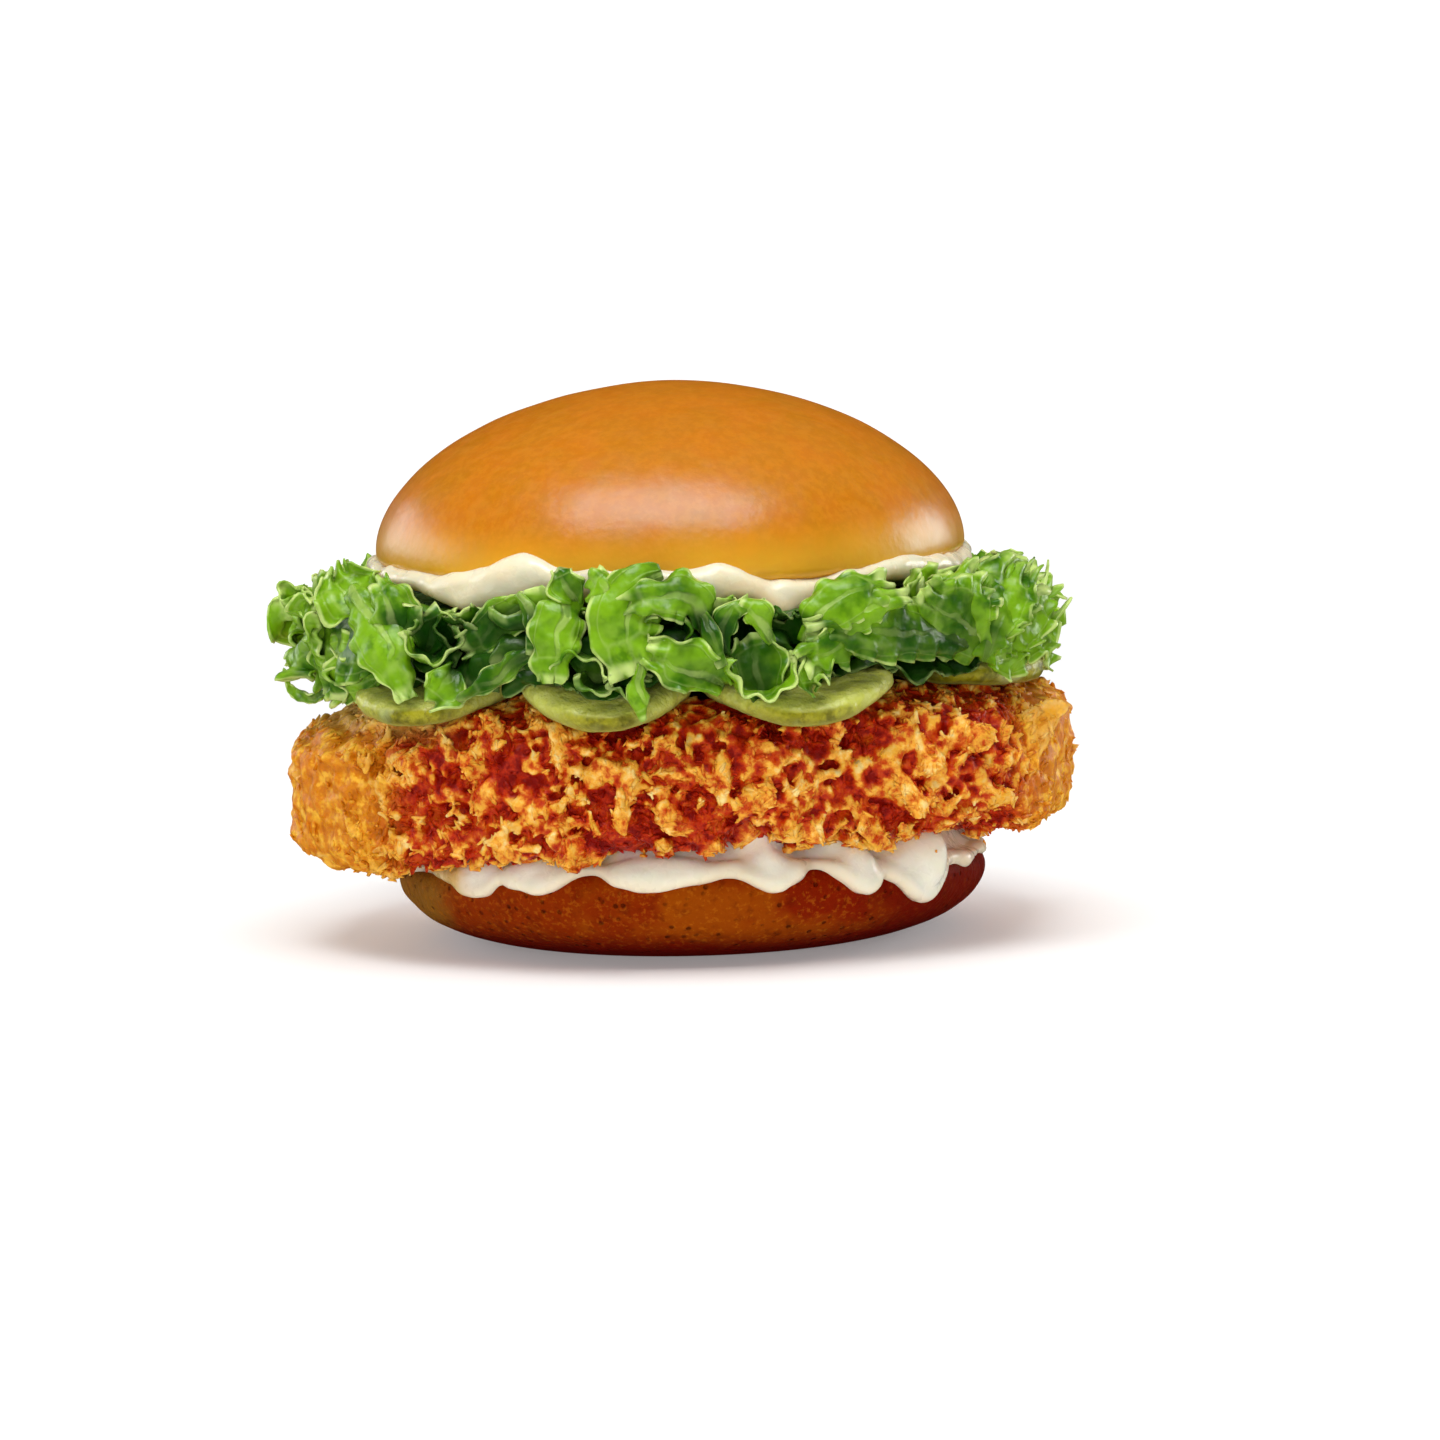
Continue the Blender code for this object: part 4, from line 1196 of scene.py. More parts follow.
def make_pickles(settings):
    """Each slice: its solid softened and made bumpy."""
    material = pickle_look(settings)
    for seed, node in enumerate(PICKLE_NODES):
        mesh = softened(node, settings.voxel, 4)
        points, normals = points_of(mesh), normals_of(mesh)
        centre = (points.min(0) + points.max(0)) / 2
        away = points - points.mean(0)
        square = np.linalg.svd(away[::7], full_matrices=False)[2][2]  # the slice's upright
        out = np.linalg.norm(away - np.outer(away @ square, square), axis=1)
        bumpy = 0.25 * MM * layered_noise(points - centre, 5 * MM, 2, seed)
        set_points(mesh, points + normals * bumpy[:, None])
        # lie: how far each point faces up, which the material turns into painted light and shade.
        set_attributes(mesh, out=out / np.percentile(out, 99.5), lie=blurred(mesh, normals[:, 2], 2))
        finished(node.replace("pickle", "pickle_slice"), mesh, material, "pickle", node)


# ---- lettuce

LEAF_SPANS = {  # where each leaf starts and ends round the burger, in degrees from +X
    "lettuce_right": (-76, 20),
    "lettuce_back_right": (12, 92),
    "lettuce_back_left": (84, 162),
    "lettuce_left": (154, 252),
    "lettuce_front": (240, 294),
}
# Each leaf's sheets, from the top down: root height, first and last slope in degrees, reach, how
# far the rim's meander swings in degrees, length of a fold at the rim, and frilliness.
UPTURNED = (56.4 * MM, -8, 58, 0.98, 92, 20 * MM, 1.0)
SPREAD = (54.6 * MM, -2, 6, 1.0, 104, 26 * MM, 0.9)
DRAPED = (52.6 * MM, 0, -44, 0.97, 84, 30 * MM, 0.7)
LEAF_SHEETS = {
    "lettuce_right": (
        (56.8 * MM, -6, 64, 0.96, 80, 24 * MM, 1.2),
        (52.6 * MM, -18, 78, 1.0, 50, 44 * MM, 1.1),
        (52.0 * MM, -14, -40, 0.98, 80, 30 * MM, 0.6),
    ),
    "lettuce_back_right": (UPTURNED, SPREAD, DRAPED),
    "lettuce_back_left": (UPTURNED, SPREAD, DRAPED),
    "lettuce_left": (
        (56.6 * MM, -10, 58, 0.98, 94, 28 * MM, 1.0),
        (55.4 * MM, -2, -8, 1.03, 100, 36 * MM, 0.9),
        (53.0 * MM, -8, -66, 1.06, 66, 38 * MM, 0.5),
    ),
    "lettuce_front": (
        (56.8 * MM, -8, 66, 0.99, 92, 26 * MM, 0.8),
        (56.0 * MM, -4, -72, 1.02, 104, 32 * MM, 0.5),
        (53.2 * MM, -12, -50, 1.04, 92, 30 * MM, 0.6),
    ),
}
# The fronds in front, each (root, middle, tip, width, curl, facing, frill, taper): three places as x,
# distance out from a plain outline and height, and a width, in mm; degrees of curl across the frond
# and of facing up; the strength of its frills; and how far its tip narrows.
FRONDS = (
    ((-56, -2, 53.5), (-62, 0, 56), (-66, 1, 58.5), 9, 230, 40, 0.3, 0.3),
    ((-49, -4, 55.5), (-53, -1, 60), (-55.5, -1, 64), 12, 40, 20, 1.2, 0.6),
    ((-46, -3, 51), (-53.5, 2, 53), (-61, 0.5, 54), 16, -50, 5, 0.6, 0.6),
    ((-46, -2, 50), (-54, 2, 48.5), (-61, 0.5, 48), 12, -60, 0, 0.6, 0.6),
    ((-52.5, 1, 61.5), (-48, 4, 54.5), (-43, 4, 44.5), 10, -80, -5, 0.4, 0.7),
    ((-54.5, 0, 46.5), (-62.5, 1.5, 42), (-65.5, 1.5, 46.5), 2, 60, 0, 0.2, 0.8),
    ((-49, -1, 50), (-53.5, 1, 46.5), (-57.5, 1.5, 43), 8, -40, 0, 0.8, 0.8),
    ((-44.5, -2, 52), (-45.5, 1, 58.5), (-48.5, 0, 63), 10, -120, 0, 0.4, 0.6),
    ((-39.5, -12, 52), (-39, -4, 50.5), (-39, 1.5, 50.5), 15, 200, 90, 0.5, 0),
    ((-40.5, -6, 51), (-39.5, -5, 55), (-40.5, -4, 58), 8, 60, 0, 0.5, 0.5),
    ((-22.5, 0, 53), (-28, 2.5, 49.5), (-34.5, 3, 45), 4.5, -60, 15, 0.5, 0.8),
    ((-36, -2, 49), (-37.5, 2, 46.5), (-39.5, 3, 44.5), 7, 50, 0, 0.7, 0.5),
    ((-23, -4, 60), (-28, -3, 56.5), (-34.5, -3, 52.5), 8, 40, 10, 0.5, 0.5),
    ((-25, 0, 61.5), (-23, 1, 57), (-23, 1, 52), 3.5, -80, -10, 0.2, 0.5),
    ((-16.5, -2, 62.5), (-19, 2.5, 56), (-20.5, 3, 47.5), 9, -80, -5, 0.6, 0.5),
    ((-15, -8, 51.5), (-15.5, -2, 52), (-16, 3, 52.5), 13, -170, 90, 0.5, 0),
    ((-12, -8, 47), (-12.5, -1, 46.5), (-13, 3, 46), 9, 160, 90, 0.5, 0),
    ((-9.5, -1, 58.5), (-11, 1.5, 62.5), (-14, 0, 64.5), 8, -130, 20, 0.4, 0.5),
    ((-16, -2, 60), (-17.5, 0, 63), (-18.5, -1, 65.5), 6, 60, 10, 0.6, 0.6),
    ((-2, -12, 51.5), (-2, -4, 52), (-2, 2, 52), 19, 290, 90, 0.5, 0),
    ((-2.5, -1, 64.5), (-8.5, 2.5, 59), (-7, 3, 49), 12, -50, -5, 0.6, 0.4),
    ((5, 0, 54), (0.5, 2, 61.5), (-9.5, 2, 59), 8, -60, 20, 0.8, 0.5),
    ((6.5, 0, 47), (1.5, 3, 50), (-5, 2.5, 53), 9, 40, 0, 1, 0.5),
    ((-6, 3, 51), (-6.5, 4, 46.5), (-5.5, 4, 42.5), 3.5, -70, 0, 0.4, 0.6),
    ((-7.5, -8, 48), (-8, -1, 46.5), (-8, 3, 46), 8, 130, 90, 0.8, 0),
    ((12.5, -10, 49), (12.5, -2, 45.5), (13, 3.5, 44.5), 19, 210, 90, 0.5, 0),
    ((13, -2, 44), (12.5, -1, 49.5), (11.5, -2, 54.5), 10, 70, 0, 0.8, 0.3),
    ((7, 1, 52), (7.5, 2, 57), (11.5, 1, 60.5), 4, -80, 0, 0.4, 0.5),
    ((14.5, 1, 53.5), (12.5, 2, 57.5), (9.5, 1, 59.5), 4.5, -80, 0, 0.4, 0.5),
    ((2.5, 1, 59), (5, 3, 55), (7, 3.5, 50), 3.5, -80, 0, 0.3, 0.5),
    ((31.5, -1, 51), (25, 2.5, 52), (18.5, 3, 50), 7, -60, 0, 1.4, 0.5),
    ((25, 0, 51.5), (21, 3, 48.5), (21, 3, 45), 5, 60, 0, 1.2, 0.6),
    ((53.5, 0, 49), (35.5, 2.5, 54), (20, 2, 55), 10, -50, 10, 0.7, 0.6),
    ((20, 0, 53), (25, 2.5, 59.5), (34, 1, 61), 9.5, -80, 25, 0.6, 0.5),
    ((25, 1.5, 52.5), (29.5, 3.5, 57.5), (36.5, 2.5, 59), 7, -100, 10, 0.4, 0.6),
    ((52.5, 0, 49.5), (45, 2.5, 55), (38.5, 1.5, 60.5), 14, -60, 10, 0.8, 0.6),
    ((40, -3, 52), (41, -5, 57), (43, -6, 61.5), 11, 60, 10, 0.9, 0.4),
    ((48, -1, 49), (46.5, 2, 57), (49, 0, 62), 11, -40, 0, 1.0, 0.5),
    ((50, -1, 49), (52, 2, 56.5), (55.5, -1, 62), 12, 50, 0, 1.0, 0.4),
    ((52, -1, 48.5), (56.5, 2, 54), (60.5, -1, 59.5), 11, -40, 0, 1.0, 0.4),
    ((51, -3, 52), (54, -4, 57), (58, -5, 60.5), 11, 70, 10, 1.2, 0.4),
    ((52, 0, 48.5), (57.5, 2, 51), (61.5, 0, 54.5), 10, 40, 0, 1.0, 0.4),
    ((50, 0, 47.5), (54.5, 2, 48), (58.5, 1, 49.5), 8, -40, 0, 1, 0.5),
    ((49, 1, 47.5), (52.5, 4, 55.5), (58.5, 3, 60.5), 10, -70, 0, 1.2, 0.5),
)
BACK_FRONDS = 52
LEAF_ROOT = 40 * MM  # the sheets start this far from the middle
LEAF_HEM = 44.6 * MM  # the leaves hang no lower, where nothing bears them
LEAF_UNDER_SAUCE = 57.6 * MM  # their greatest height where the upper sauce lies on them
LEAF_TOP = 61.0 * MM  # their greatest height outside it, without the crests
LEAF_CRESTS = (  # direction and spread in degrees, and height, of the places where the leaves stand up
    (345, 20, 0.6 * MM), (318, 12, 2.6 * MM), (289, 7, -3.5 * MM), (267, 8, 3 * MM), (249, 7, 2.2 * MM),
    (229, 9, -2.6 * MM), (198, 16, 1.8 * MM), (158, 18, 0.4 * MM), (112, 20, 4.4 * MM), (66, 20, 3.2 * MM),
    (24, 14, -0.6 * MM),
)
LEAF_HALF_WIDTH, LEAF_HALF_DEPTH = 61.5 * MM, 57 * MM  # of the lettuce's outline
RIM_FRILLS = ((7.0, 0.8, 2.0, 6), (3.3, 0.4, 3.5, 7), (1.7, 0.14, 6.0, 8))  # mm long, mm high, power, salt
GROUND_REACH, GROUND_CELL = 75 * MM, 1.5 * MM  # half the width of the grid under the leaves, and its step


def leaf_outline(angle):
    """Distance from the middle to the lettuce's edge."""
    ellipse = 1 / np.hypot(np.cos(angle) / LEAF_HALF_WIDTH, np.sin(angle) / LEAF_HALF_DEPTH)
    return ellipse - 0.9 * MM * np.cos(angle)


def leaf_ceiling(angle):
    """The greatest height of the leaves in a direction."""
    return LEAF_TOP + swelling(angle, LEAF_CRESTS)


def along_noise(place, salt):
    """Smooth random values along a line of places, each place a feature apart."""
    return lattice_noise(np.stack([place, place * 0 + salt * 3.71, place * 0 + 0.5], axis=1), 1.0, salt)


def ground_under_leaves():
    """Heights of the slices' and the fillet's upper sides on a square grid, softened."""
    trees = [tree_of(merged_copy(node)) for node in (*PICKLE_NODES, "fillet")]
    lines = np.arange(-GROUND_REACH, GROUND_REACH, GROUND_CELL)
    heights = np.full((len(lines), len(lines)), LEAF_HEM)
    down = Vector((0, 0, -1))
    for (row, x), (column, y) in itertools.product(enumerate(lines), enumerate(lines)):
        hits = [tree.ray_cast(Vector((x, y, 80 * MM)), down)[0] for tree in trees]
        heights[row, column] = max([LEAF_HEM, *(hit.z for hit in hits if hit is not None)])
    for _ in range(2):
        padded = np.pad(heights, 1, mode="edge")
        beside = padded[2:, 1:-1] + padded[:-2, 1:-1] + padded[1:-1, 2:] + padded[1:-1, :-2]
        heights = (beside + 2 * heights) / 6
    return heights


def ground_at(heights, x, y):
    """The ground's height at places, between its grid's points."""
    last = len(heights) - 1.001
    row, column = (np.clip((value + GROUND_REACH) / GROUND_CELL, 0, last) for value in (x, y))
    low, left = row.astype(int), column.astype(int)
    up, across = row - low, column - left
    near = heights[low, left] * (1 - up) + heights[low + 1, left] * up
    far = heights[low, left + 1] * (1 - up) + heights[low + 1, left + 1] * up
    return near * (1 - across) + far * across


def meander(length, fold, swing, seed, columns):
    """How far a wandering line gets ahead and aside, in shares of its length; its half waves
    differ in length and in how far they swing."""
    random = np.random.default_rng(seed)
    place = np.linspace(0, length, columns)
    halves = fold / 2 * np.exp(random.normal(0, 0.38, int(length / fold * 4) + 8))
    ends = np.concatenate([[0], np.cumsum(halves)]) - random.uniform(0, fold / 2)
    phase = np.interp(place, ends, np.arange(len(ends)) * math.pi)
    swings = np.interp(place, (ends[1:] + ends[:-1]) / 2, random.uniform(0.72, 1.18, len(halves)))
    heading = math.radians(swing) * swings * np.sin(phase) + 0.2 * along_noise(place / fold * 3, seed)
    ahead, aside = np.cumsum(np.cos(heading)), np.cumsum(np.sin(heading))
    window = max(3, int(columns / length * fold * 1.2)) | 1
    drift = np.convolve(np.pad(aside, window // 2, mode="edge"), np.ones(window) / window, mode="valid")
    return ahead / ahead[-1], (aside - drift) / ahead[-1]


def grid_normals(points):
    """The unit normal at each point of a grid."""
    return unit(np.cross(np.gradient(points, axis=1), np.gradient(points, axis=0)))


def crumpled(points, amount, seed):
    """A grid of points that is bent every way by the amount, and blistered."""
    flat = points.reshape(-1, 3)
    bend = vector_noise(flat, 8 * MM, seed) + 0.4 * vector_noise(flat, 3.4 * MM, seed + 3)
    points = points + bend.reshape(points.shape) * amount[..., None]
    blisters = 0.42 * lattice_noise(flat, 3.6 * MM, seed) + 0.2 * lattice_noise(flat, 1.8 * MM, seed + 1)
    return points + grid_normals(points) * (blisters * MM).reshape(*points.shape[:2], 1)


def frilled_sheet(start, end, sheet, seed, fineness, ground):
    """A leaf's margin as a grid of points from root to rim, with each point's place along and out. Its
    rim meanders, so that the sheet stands in open folds, and finer frills ride on the folds."""
    root, first_slope, last_slope, reach, swing, fold, frill = sheet
    turn = math.radians(end - start)
    arc = turn * 56 * MM
    rim = arc * (1 + (swing / 88) ** 2)
    rows, columns = int(24 * MM / fineness), int(rim / fineness)
    along, out = np.linspace(0, 1, columns), np.linspace(0, 1, rows)[:, None]
    ahead, aside = meander(rim, fold, swing, seed, columns)
    angle = math.radians(start) + turn * (along * (1 - out**1.2) + ahead * out**1.2)

    folds = along * rim / fold
    bend = last_slope - first_slope + 26 * along_noise(folds * 0.7, seed + 3)
    slope = np.radians(first_slope + bend * out**1.3)
    length = (leaf_outline(angle) - LEAF_ROOT) * reach * (1.2 + 0.2 * along_noise(folds * 0.9, seed + 4))
    length = length * (1 + 0.05 * along_noise(folds * 6, seed + 5) * out**4)
    step = length / (rows - 1)
    sway = aside * arc * out**1.25
    radius = LEAF_ROOT + np.cumsum(np.cos(slope) * step, axis=0) - np.cos(slope[:1]) * step
    radius = radius - np.sin(slope) * sway
    height = root + np.cumsum(np.sin(slope) * step, axis=0) + np.cos(slope) * sway * 0.85

    outside = smooth_step(radius, 49.5 * MM, 56 * MM)
    ceiling = LEAF_UNDER_SAUCE + (leaf_ceiling(angle) - LEAF_UNDER_SAUCE) * outside
    radius = at_most(radius, leaf_outline(angle) - 2.4 * MM, 2 * MM)
    x, y = radius * np.cos(angle), radius * np.sin(angle)
    height = at_most(height, ceiling, 2.4 * MM)
    height = -at_most(-height, -ground_at(ground, x, y) - 0.6 * MM, 1.6 * MM)
    points = np.stack([x, y, height], axis=-1)

    place = along * rim / MM
    for wavelength, size, power, salt in RIM_FRILLS:
        phase = math.tau * place / wavelength + 2.4 * along_noise(place / (wavelength * 2), seed + salt)
        frills = np.sin(phase) * (0.7 + 0.7 * along_noise(place / 11, seed + salt + 10)) * frill
        points = points + grid_normals(points) * (size * MM * frills * out**power)[..., None]
    points = crumpled(points, 2.2 * MM * smooth_step(out, 0.2, 0.9), seed)
    return points, *np.broadcast_arrays(along * arc / MM, out)


def frond(spine, width, curl, outward, facing, frill, taper, seed, fineness):
    """A piece of leaf along a bent spine of three points, curled across it and frilled at its rim, with
    each point's place along and out."""
    root, middle, tip = spine
    span = np.linalg.norm(middle - root) + np.linalg.norm(tip - middle)
    rows, columns = int(span / fineness) + 4, int(width / fineness) + 4
    along, across = np.linspace(0, 1, rows)[:, None], np.linspace(-1, 1, columns)[None, :]
    control = 2 * middle - (root + tip) / 2
    share = along[..., None]
    line = (1 - share) ** 2 * root + 2 * share * (1 - share) * control + share**2 * tip
    ahead = unit(2 * (1 - share) * (control - root) + 2 * share * (tip - control))
    face = math.cos(math.radians(facing)) * outward + np.array([0, 0, math.sin(math.radians(facing))])
    side = unit(np.cross(ahead, face))
    up = np.cross(side, ahead)
    narrowed = 1 - taper * smooth_step(along, 0.5, 1.05)
    half = width / 2 * (0.2 + 0.8 * smooth_step(along, -0.1, 0.5)) * narrowed
    turn = math.radians(curl) / 2
    radius = (half / turn)[..., None]
    bend = turn * across[..., None]
    points = line + side * radius * np.sin(bend) + up * radius * (1 - np.cos(bend))
    shift = 3 * lattice_noise(np.array([[seed * 0.37, 0.2, 0.1]]), 1.0)[0]
    sides = np.sin(math.tau * along * span / (4.6 * MM) + shift + np.sign(across)) * np.abs(across) ** 3
    ends = np.sin(math.tau * across * width / (9 * MM) + shift) * along**4
    points = points + grid_normals(points) * (frill * 1.25 * MM * (sides + ends))[..., None]
    rim = np.maximum(across**2, along**2)
    points = crumpled(points, (0.4 + 0.7 * frill * rim) * MM, seed)
    return points, across * half / MM, np.maximum(np.abs(across) * smooth_step(along, -0.4, 0.4), along)


def front_fronds():
    """The fronds in front, each as its spine, width, curl, way out, facing, frill and taper."""
    for *places, width, curl, facing, frill, taper in FRONDS:
        spine = []
        for x, out, height in places:
            depth = LEAF_HALF_DEPTH * math.sqrt(max(0.03, 1 - (x * MM / LEAF_HALF_WIDTH) ** 2)) + out * MM
            spine.append(np.array([x * MM, -depth, height * MM]))
        yield spine, width * MM, curl, np.array([0.0, -1.0, 0.0]), facing, frill, taper


def back_fronds():
    """Fronds all round the back, like those in front but at random."""
    random = np.random.default_rng(11)
    for index in range(BACK_FRONDS):
        angle = math.radians(-4 + 210 * (index + random.uniform(-0.4, 0.4)) / BACK_FRONDS)
        outward = np.array([math.cos(angle), math.sin(angle), 0])
        aside = np.array([-math.sin(angle), math.cos(angle), 0])
        edge = leaf_outline(angle) * outward
        turn, rise = random.uniform(-9, 9) * MM, random.uniform(-1, 1)
        root = edge - 4 * MM * outward + np.array([0, 0, random.uniform(50, 55) * MM])
        beside = abs(math.cos(angle)) ** 4  # the ends' leaves lie lower and closer
        reach, height = (random.uniform(0, 3) - 2 * beside) * MM, (53.5 + 7.5 * rise - 3.5 * beside) * MM
        tip = edge + reach * outward + turn * aside + np.array([0, 0, height])
        middle = (root + tip) / 2 + random.uniform(2, 4.5) * MM * outward
        curl = random.choice([-1, 1]) * random.uniform(40, 170)
        yield (
            [root, middle, tip], random.uniform(9, 15) * MM, curl, outward, random.uniform(-10, 40),
            random.uniform(0.6, 1.7), random.uniform(0.2, 0.7),
        )


def shell(points, thickness):
    """Points and faces of a closed sheet round a grid, with a thickness for each point."""
    rows, columns, _ = points.shape
    half = grid_normals(points) * thickness[..., None] / 2
    both = np.concatenate([(points + half).reshape(-1, 3), (points - half).reshape(-1, 3)])
    count = rows * columns
    upper = grid_faces(rows, columns)[:, ::-1]
    lower = grid_faces(rows, columns, offset=count)
    index = np.arange(count).reshape(rows, columns)
    edge = np.concatenate([index[0, :-1], index[:-1, -1], index[-1, :0:-1], index[:0:-1, 0]])
    after = np.roll(edge, -1)
    rim = np.stack([edge, after, after + count, edge + count], axis=1)
    return both, np.concatenate([upper, lower, rim])


def leaf_look(settings):
    """Waxy leaf: pale ribs that fan towards the rim, faint veins between them and a pale cut edge, brighter
    where lit; painted shade at the roots, in hollows and on the sheets behind, painted light where the leaf
    stands open, and painted highlights in random patches.
    """
    look = Look(
        "lettuce_leaf", Specular_IOR_Level=0.28, Coat_Weight=0.2, Coat_Roughness=0.2, Subsurface_Weight=0.1,
        Subsurface_Scale=0.0008, Subsurface_Radius=(0.6, 1.0, 0.2),
    )
    along, out, shade = (look.attribute(name) for name in ("along", "out", "shade"))
    drift = look.noise(9, 3) - 0.5
    line = look.math("PINGPONG", along + drift * 3 + out * drift * 5, 8.5)
    width = 0.2 + (1 - out) * 0.9
    ribs = (1 - look.between(line / width, 0.5, 1.0)) * (1 - look.between(out, 0.4, 0.9))
    ribs = ribs * look.patches(9, 0.36, 0.62)
    swirl = look.node("ShaderNodeTexNoise", None, {"Vector": look.place, "Scale": 0.12}, "Color")
    net = look.cells(1.0, "DISTANCE_TO_EDGE", look.vector(along * 0.14, out * 2.0, 0.0) + swirl * 0.6)
    veins = 1 - look.between(net, 0.0, 0.07)
    # Painted light: lighter leaf where the shade value says it is lit, besides random variation.
    tone = look.between(look.noise(5, 3) + 0.4 * (shade - 0.5), 0.32, 0.68)
    # Painted shade: deep green at the roots and in the hollows behind the outline.
    inner = 1 - look.between(look.shifted(out * 0.4 + shade * 0.75, 0.3, 8), 0.22, 0.78)
    lit = look.between(shade, 0.0, 0.5, 0.3, 1.0)
    # The pale cut edge is the leaf's own colour, painted brighter where the leaf is lit.
    edge = look.between(out, 0.88, 0.95) * look.patches(4, 0.34, 0.6) * lit
    colour = look.layers(
        settings.dark,
        (tone, settings.leaf),
        # Painted highlights: lighter patches at random.
        (look.patches(2.8, 0.45, 0.75, 3) * 0.25, display(166, 206, 70)),
        (veins * 0.16, settings.rib),
        (ribs * 0.4, settings.rib),
        (look.patches(3.6, 0.56, 0.72, 3, 0.6) * 0.55, display(44, 96, 4)),
        (inner * 0.92, display(8, 54, 2)),
        (edge * 0.75, display(214, 232, 140)),
    )
    relief = look.relief(
        (ribs, 0.5, 0.6), (look.between(net, 0.0, 0.14), 0.25, 0.45), (look.noise(3.4, 2), 1.1, 0.6),
        (look.noise(1.5, 3), 0.22, 0.5),
    )
    return look.paint(Base_Color=colour, Roughness=look.uneven(0.28, 0.42, 2.5), Normal=relief)


def leaf_of(point):
    """The leaf that covers the direction of a point."""
    direction = math.degrees(math.atan2(point[1], point[0]))
    for node, (start, end) in LEAF_SPANS.items():
        if any(start <= direction + turn <= end for turn in (0, 360, -360)):
            return node
    raise RuntimeError(f"no leaf covers {direction:.0f} degrees")


def open_to_light(points, tone):
    """How lit a leaf's points are: by their tone at the outline, dark behind it, open high up."""
    outline = leaf_outline(np.arctan2(points[:, 1], points[:, 0]))
    behind = outline + 3 * MM - from_middle(points)
    behind = behind * (1 - 0.7 * smooth_step(points[:, 2], 56.5 * MM, 61 * MM))
    above = 0.6 * smooth_step(points[:, 2], 55.5 * MM, 60 * MM)
    return np.maximum(tone * (1 - smooth_step(behind, 0.5 * MM, 8 * MM)), above)


def leaf_mesh(node, sheets, thickness):
    """A leaf of several sheets, each (grid of points, their places along and out, tone)."""
    points, faces, along, out, shade, offset = [], [], [], [], [], 0
    for grid, line, reach, tone in sheets:
        both, quads = shell(grid, thickness * (1.5 - 0.7 * reach))
        points.append(both)
        faces.append(quads + offset)
        along.append(np.tile(line.ravel(), 2))
        out.append(np.tile(reach.ravel(), 2))
        shade.append(open_to_light(both, tone))
        offset += len(both)
    mesh = mesh_of(node, np.concatenate(points), np.concatenate(faces))
    set_attributes(mesh, along=np.concatenate(along), out=np.concatenate(out), shade=np.concatenate(shade))
    return mesh


def make_lettuce(settings):
    """The leaves, each of frilled sheets and of fronds, and their pressed middle."""
    material = leaf_look(settings)
    ground = ground_under_leaves()
    sheets = {node: [] for node in LEAF_NODES}
    for number, node in enumerate(LEAF_NODES):
        for level, sheet in enumerate(LEAF_SHEETS[node]):
            seed = 17 * number + 5 * level + 2
            grid = frilled_sheet(*LEAF_SPANS[node], sheet, seed, 1.3 * settings.fineness, ground)
            # Painted shade: the sheets are set dark, as they lie behind the fronds.
            sheets[node].append((*grid, 0.1))
    for index, (spine, *shape) in enumerate(itertools.chain(front_fronds(), back_fronds())):
        grid = frond(spine, *shape, 200 + 7 * index, 0.8 * settings.fineness)
        # How lit each frond is painted: at random, darker in the middle, lighter towards the ends.
        tone = 0.48 + 0.3 * math.sin(index * 2.3) + 0.47 * (spine[1][0] / (60 * MM)) ** 2
        sheets[leaf_of(spine[1])].append((*grid, tone))
    for node in LEAF_NODES:
        mesh = leaf_mesh(node, sheets[node], settings.thickness)
        finished(node.replace("lettuce", "lettuce_leaf"), mesh, material, "lettuce", node)
    finished("lettuce_heart", heart(), material, "lettuce")


def heart():
    """The pressed middle of the leaves, out of sight between the slices and the sauce."""
    section = (  # distance out and height in mm, from its underside to its top
        (0, 50.2), (30, 50.2), (43, 50.2), (44.5, 51.2), (44.2, 52.4), (45.2, 53.6), (44, 54.8), (45, 56.2),
        (43.5, 57.4), (30, 57.8), (0, 57.8),
    )
    radii, heights = np.array(section).T[..., None] * MM
    angles = directions(180)
    ruffled = 1 + 0.012 * np.sin(17 * angles + 3 * np.arange(len(radii))[:, None])
    x, y = radii * ruffled * np.cos(angles), radii * ruffled * np.sin(angles)
    mesh = closed_rings("heart", np.stack([x, y, np.broadcast_to(heights, x.shape)], axis=-1))
    points = points_of(mesh)
    set_attributes(mesh, along=np.degrees(np.arctan2(points[:, 1], points[:, 0])), out=0.5, shade=0.0)
    return mesh


# ---- crumbs


def make_crumbs(settings):
    """A few loose crumbs of coating that stick to the lower sauce."""
    material = bpy.data.materials["fried_coating"]
    shapes = curled_shapes("crumb", 0.7, 0.5, 0.4, 5, 40, 2)
    surface = evaluated(bpy.data.objects["lower_sauce"])
    normals, points = normals_of(surface), points_of(surface)
    outer = smooth_step(from_middle(points), 49 * MM, 50 * MM) * (normals[:, 2] > -0.2)
    set_attributes(surface, chosen=outer * (lattice_noise(points, 9 * MM, 12) > 0.3))
    crumbs = scatter_pattern().run(
        surface, Shapes=shapes, Spacing=settings.spacing, Smallest=settings.size * 0.3, Largest=settings.size,
        Tilt=1.2, Lift=0.1 * MM, Seed=9, Material=material,
    )
    remove_shapes(shapes)
    set_attributes(crumbs, gold=0.9, ridge=0.2)
    finished("loose_crumbs", crumbs, material, "fried_crumb")


# ---- stage

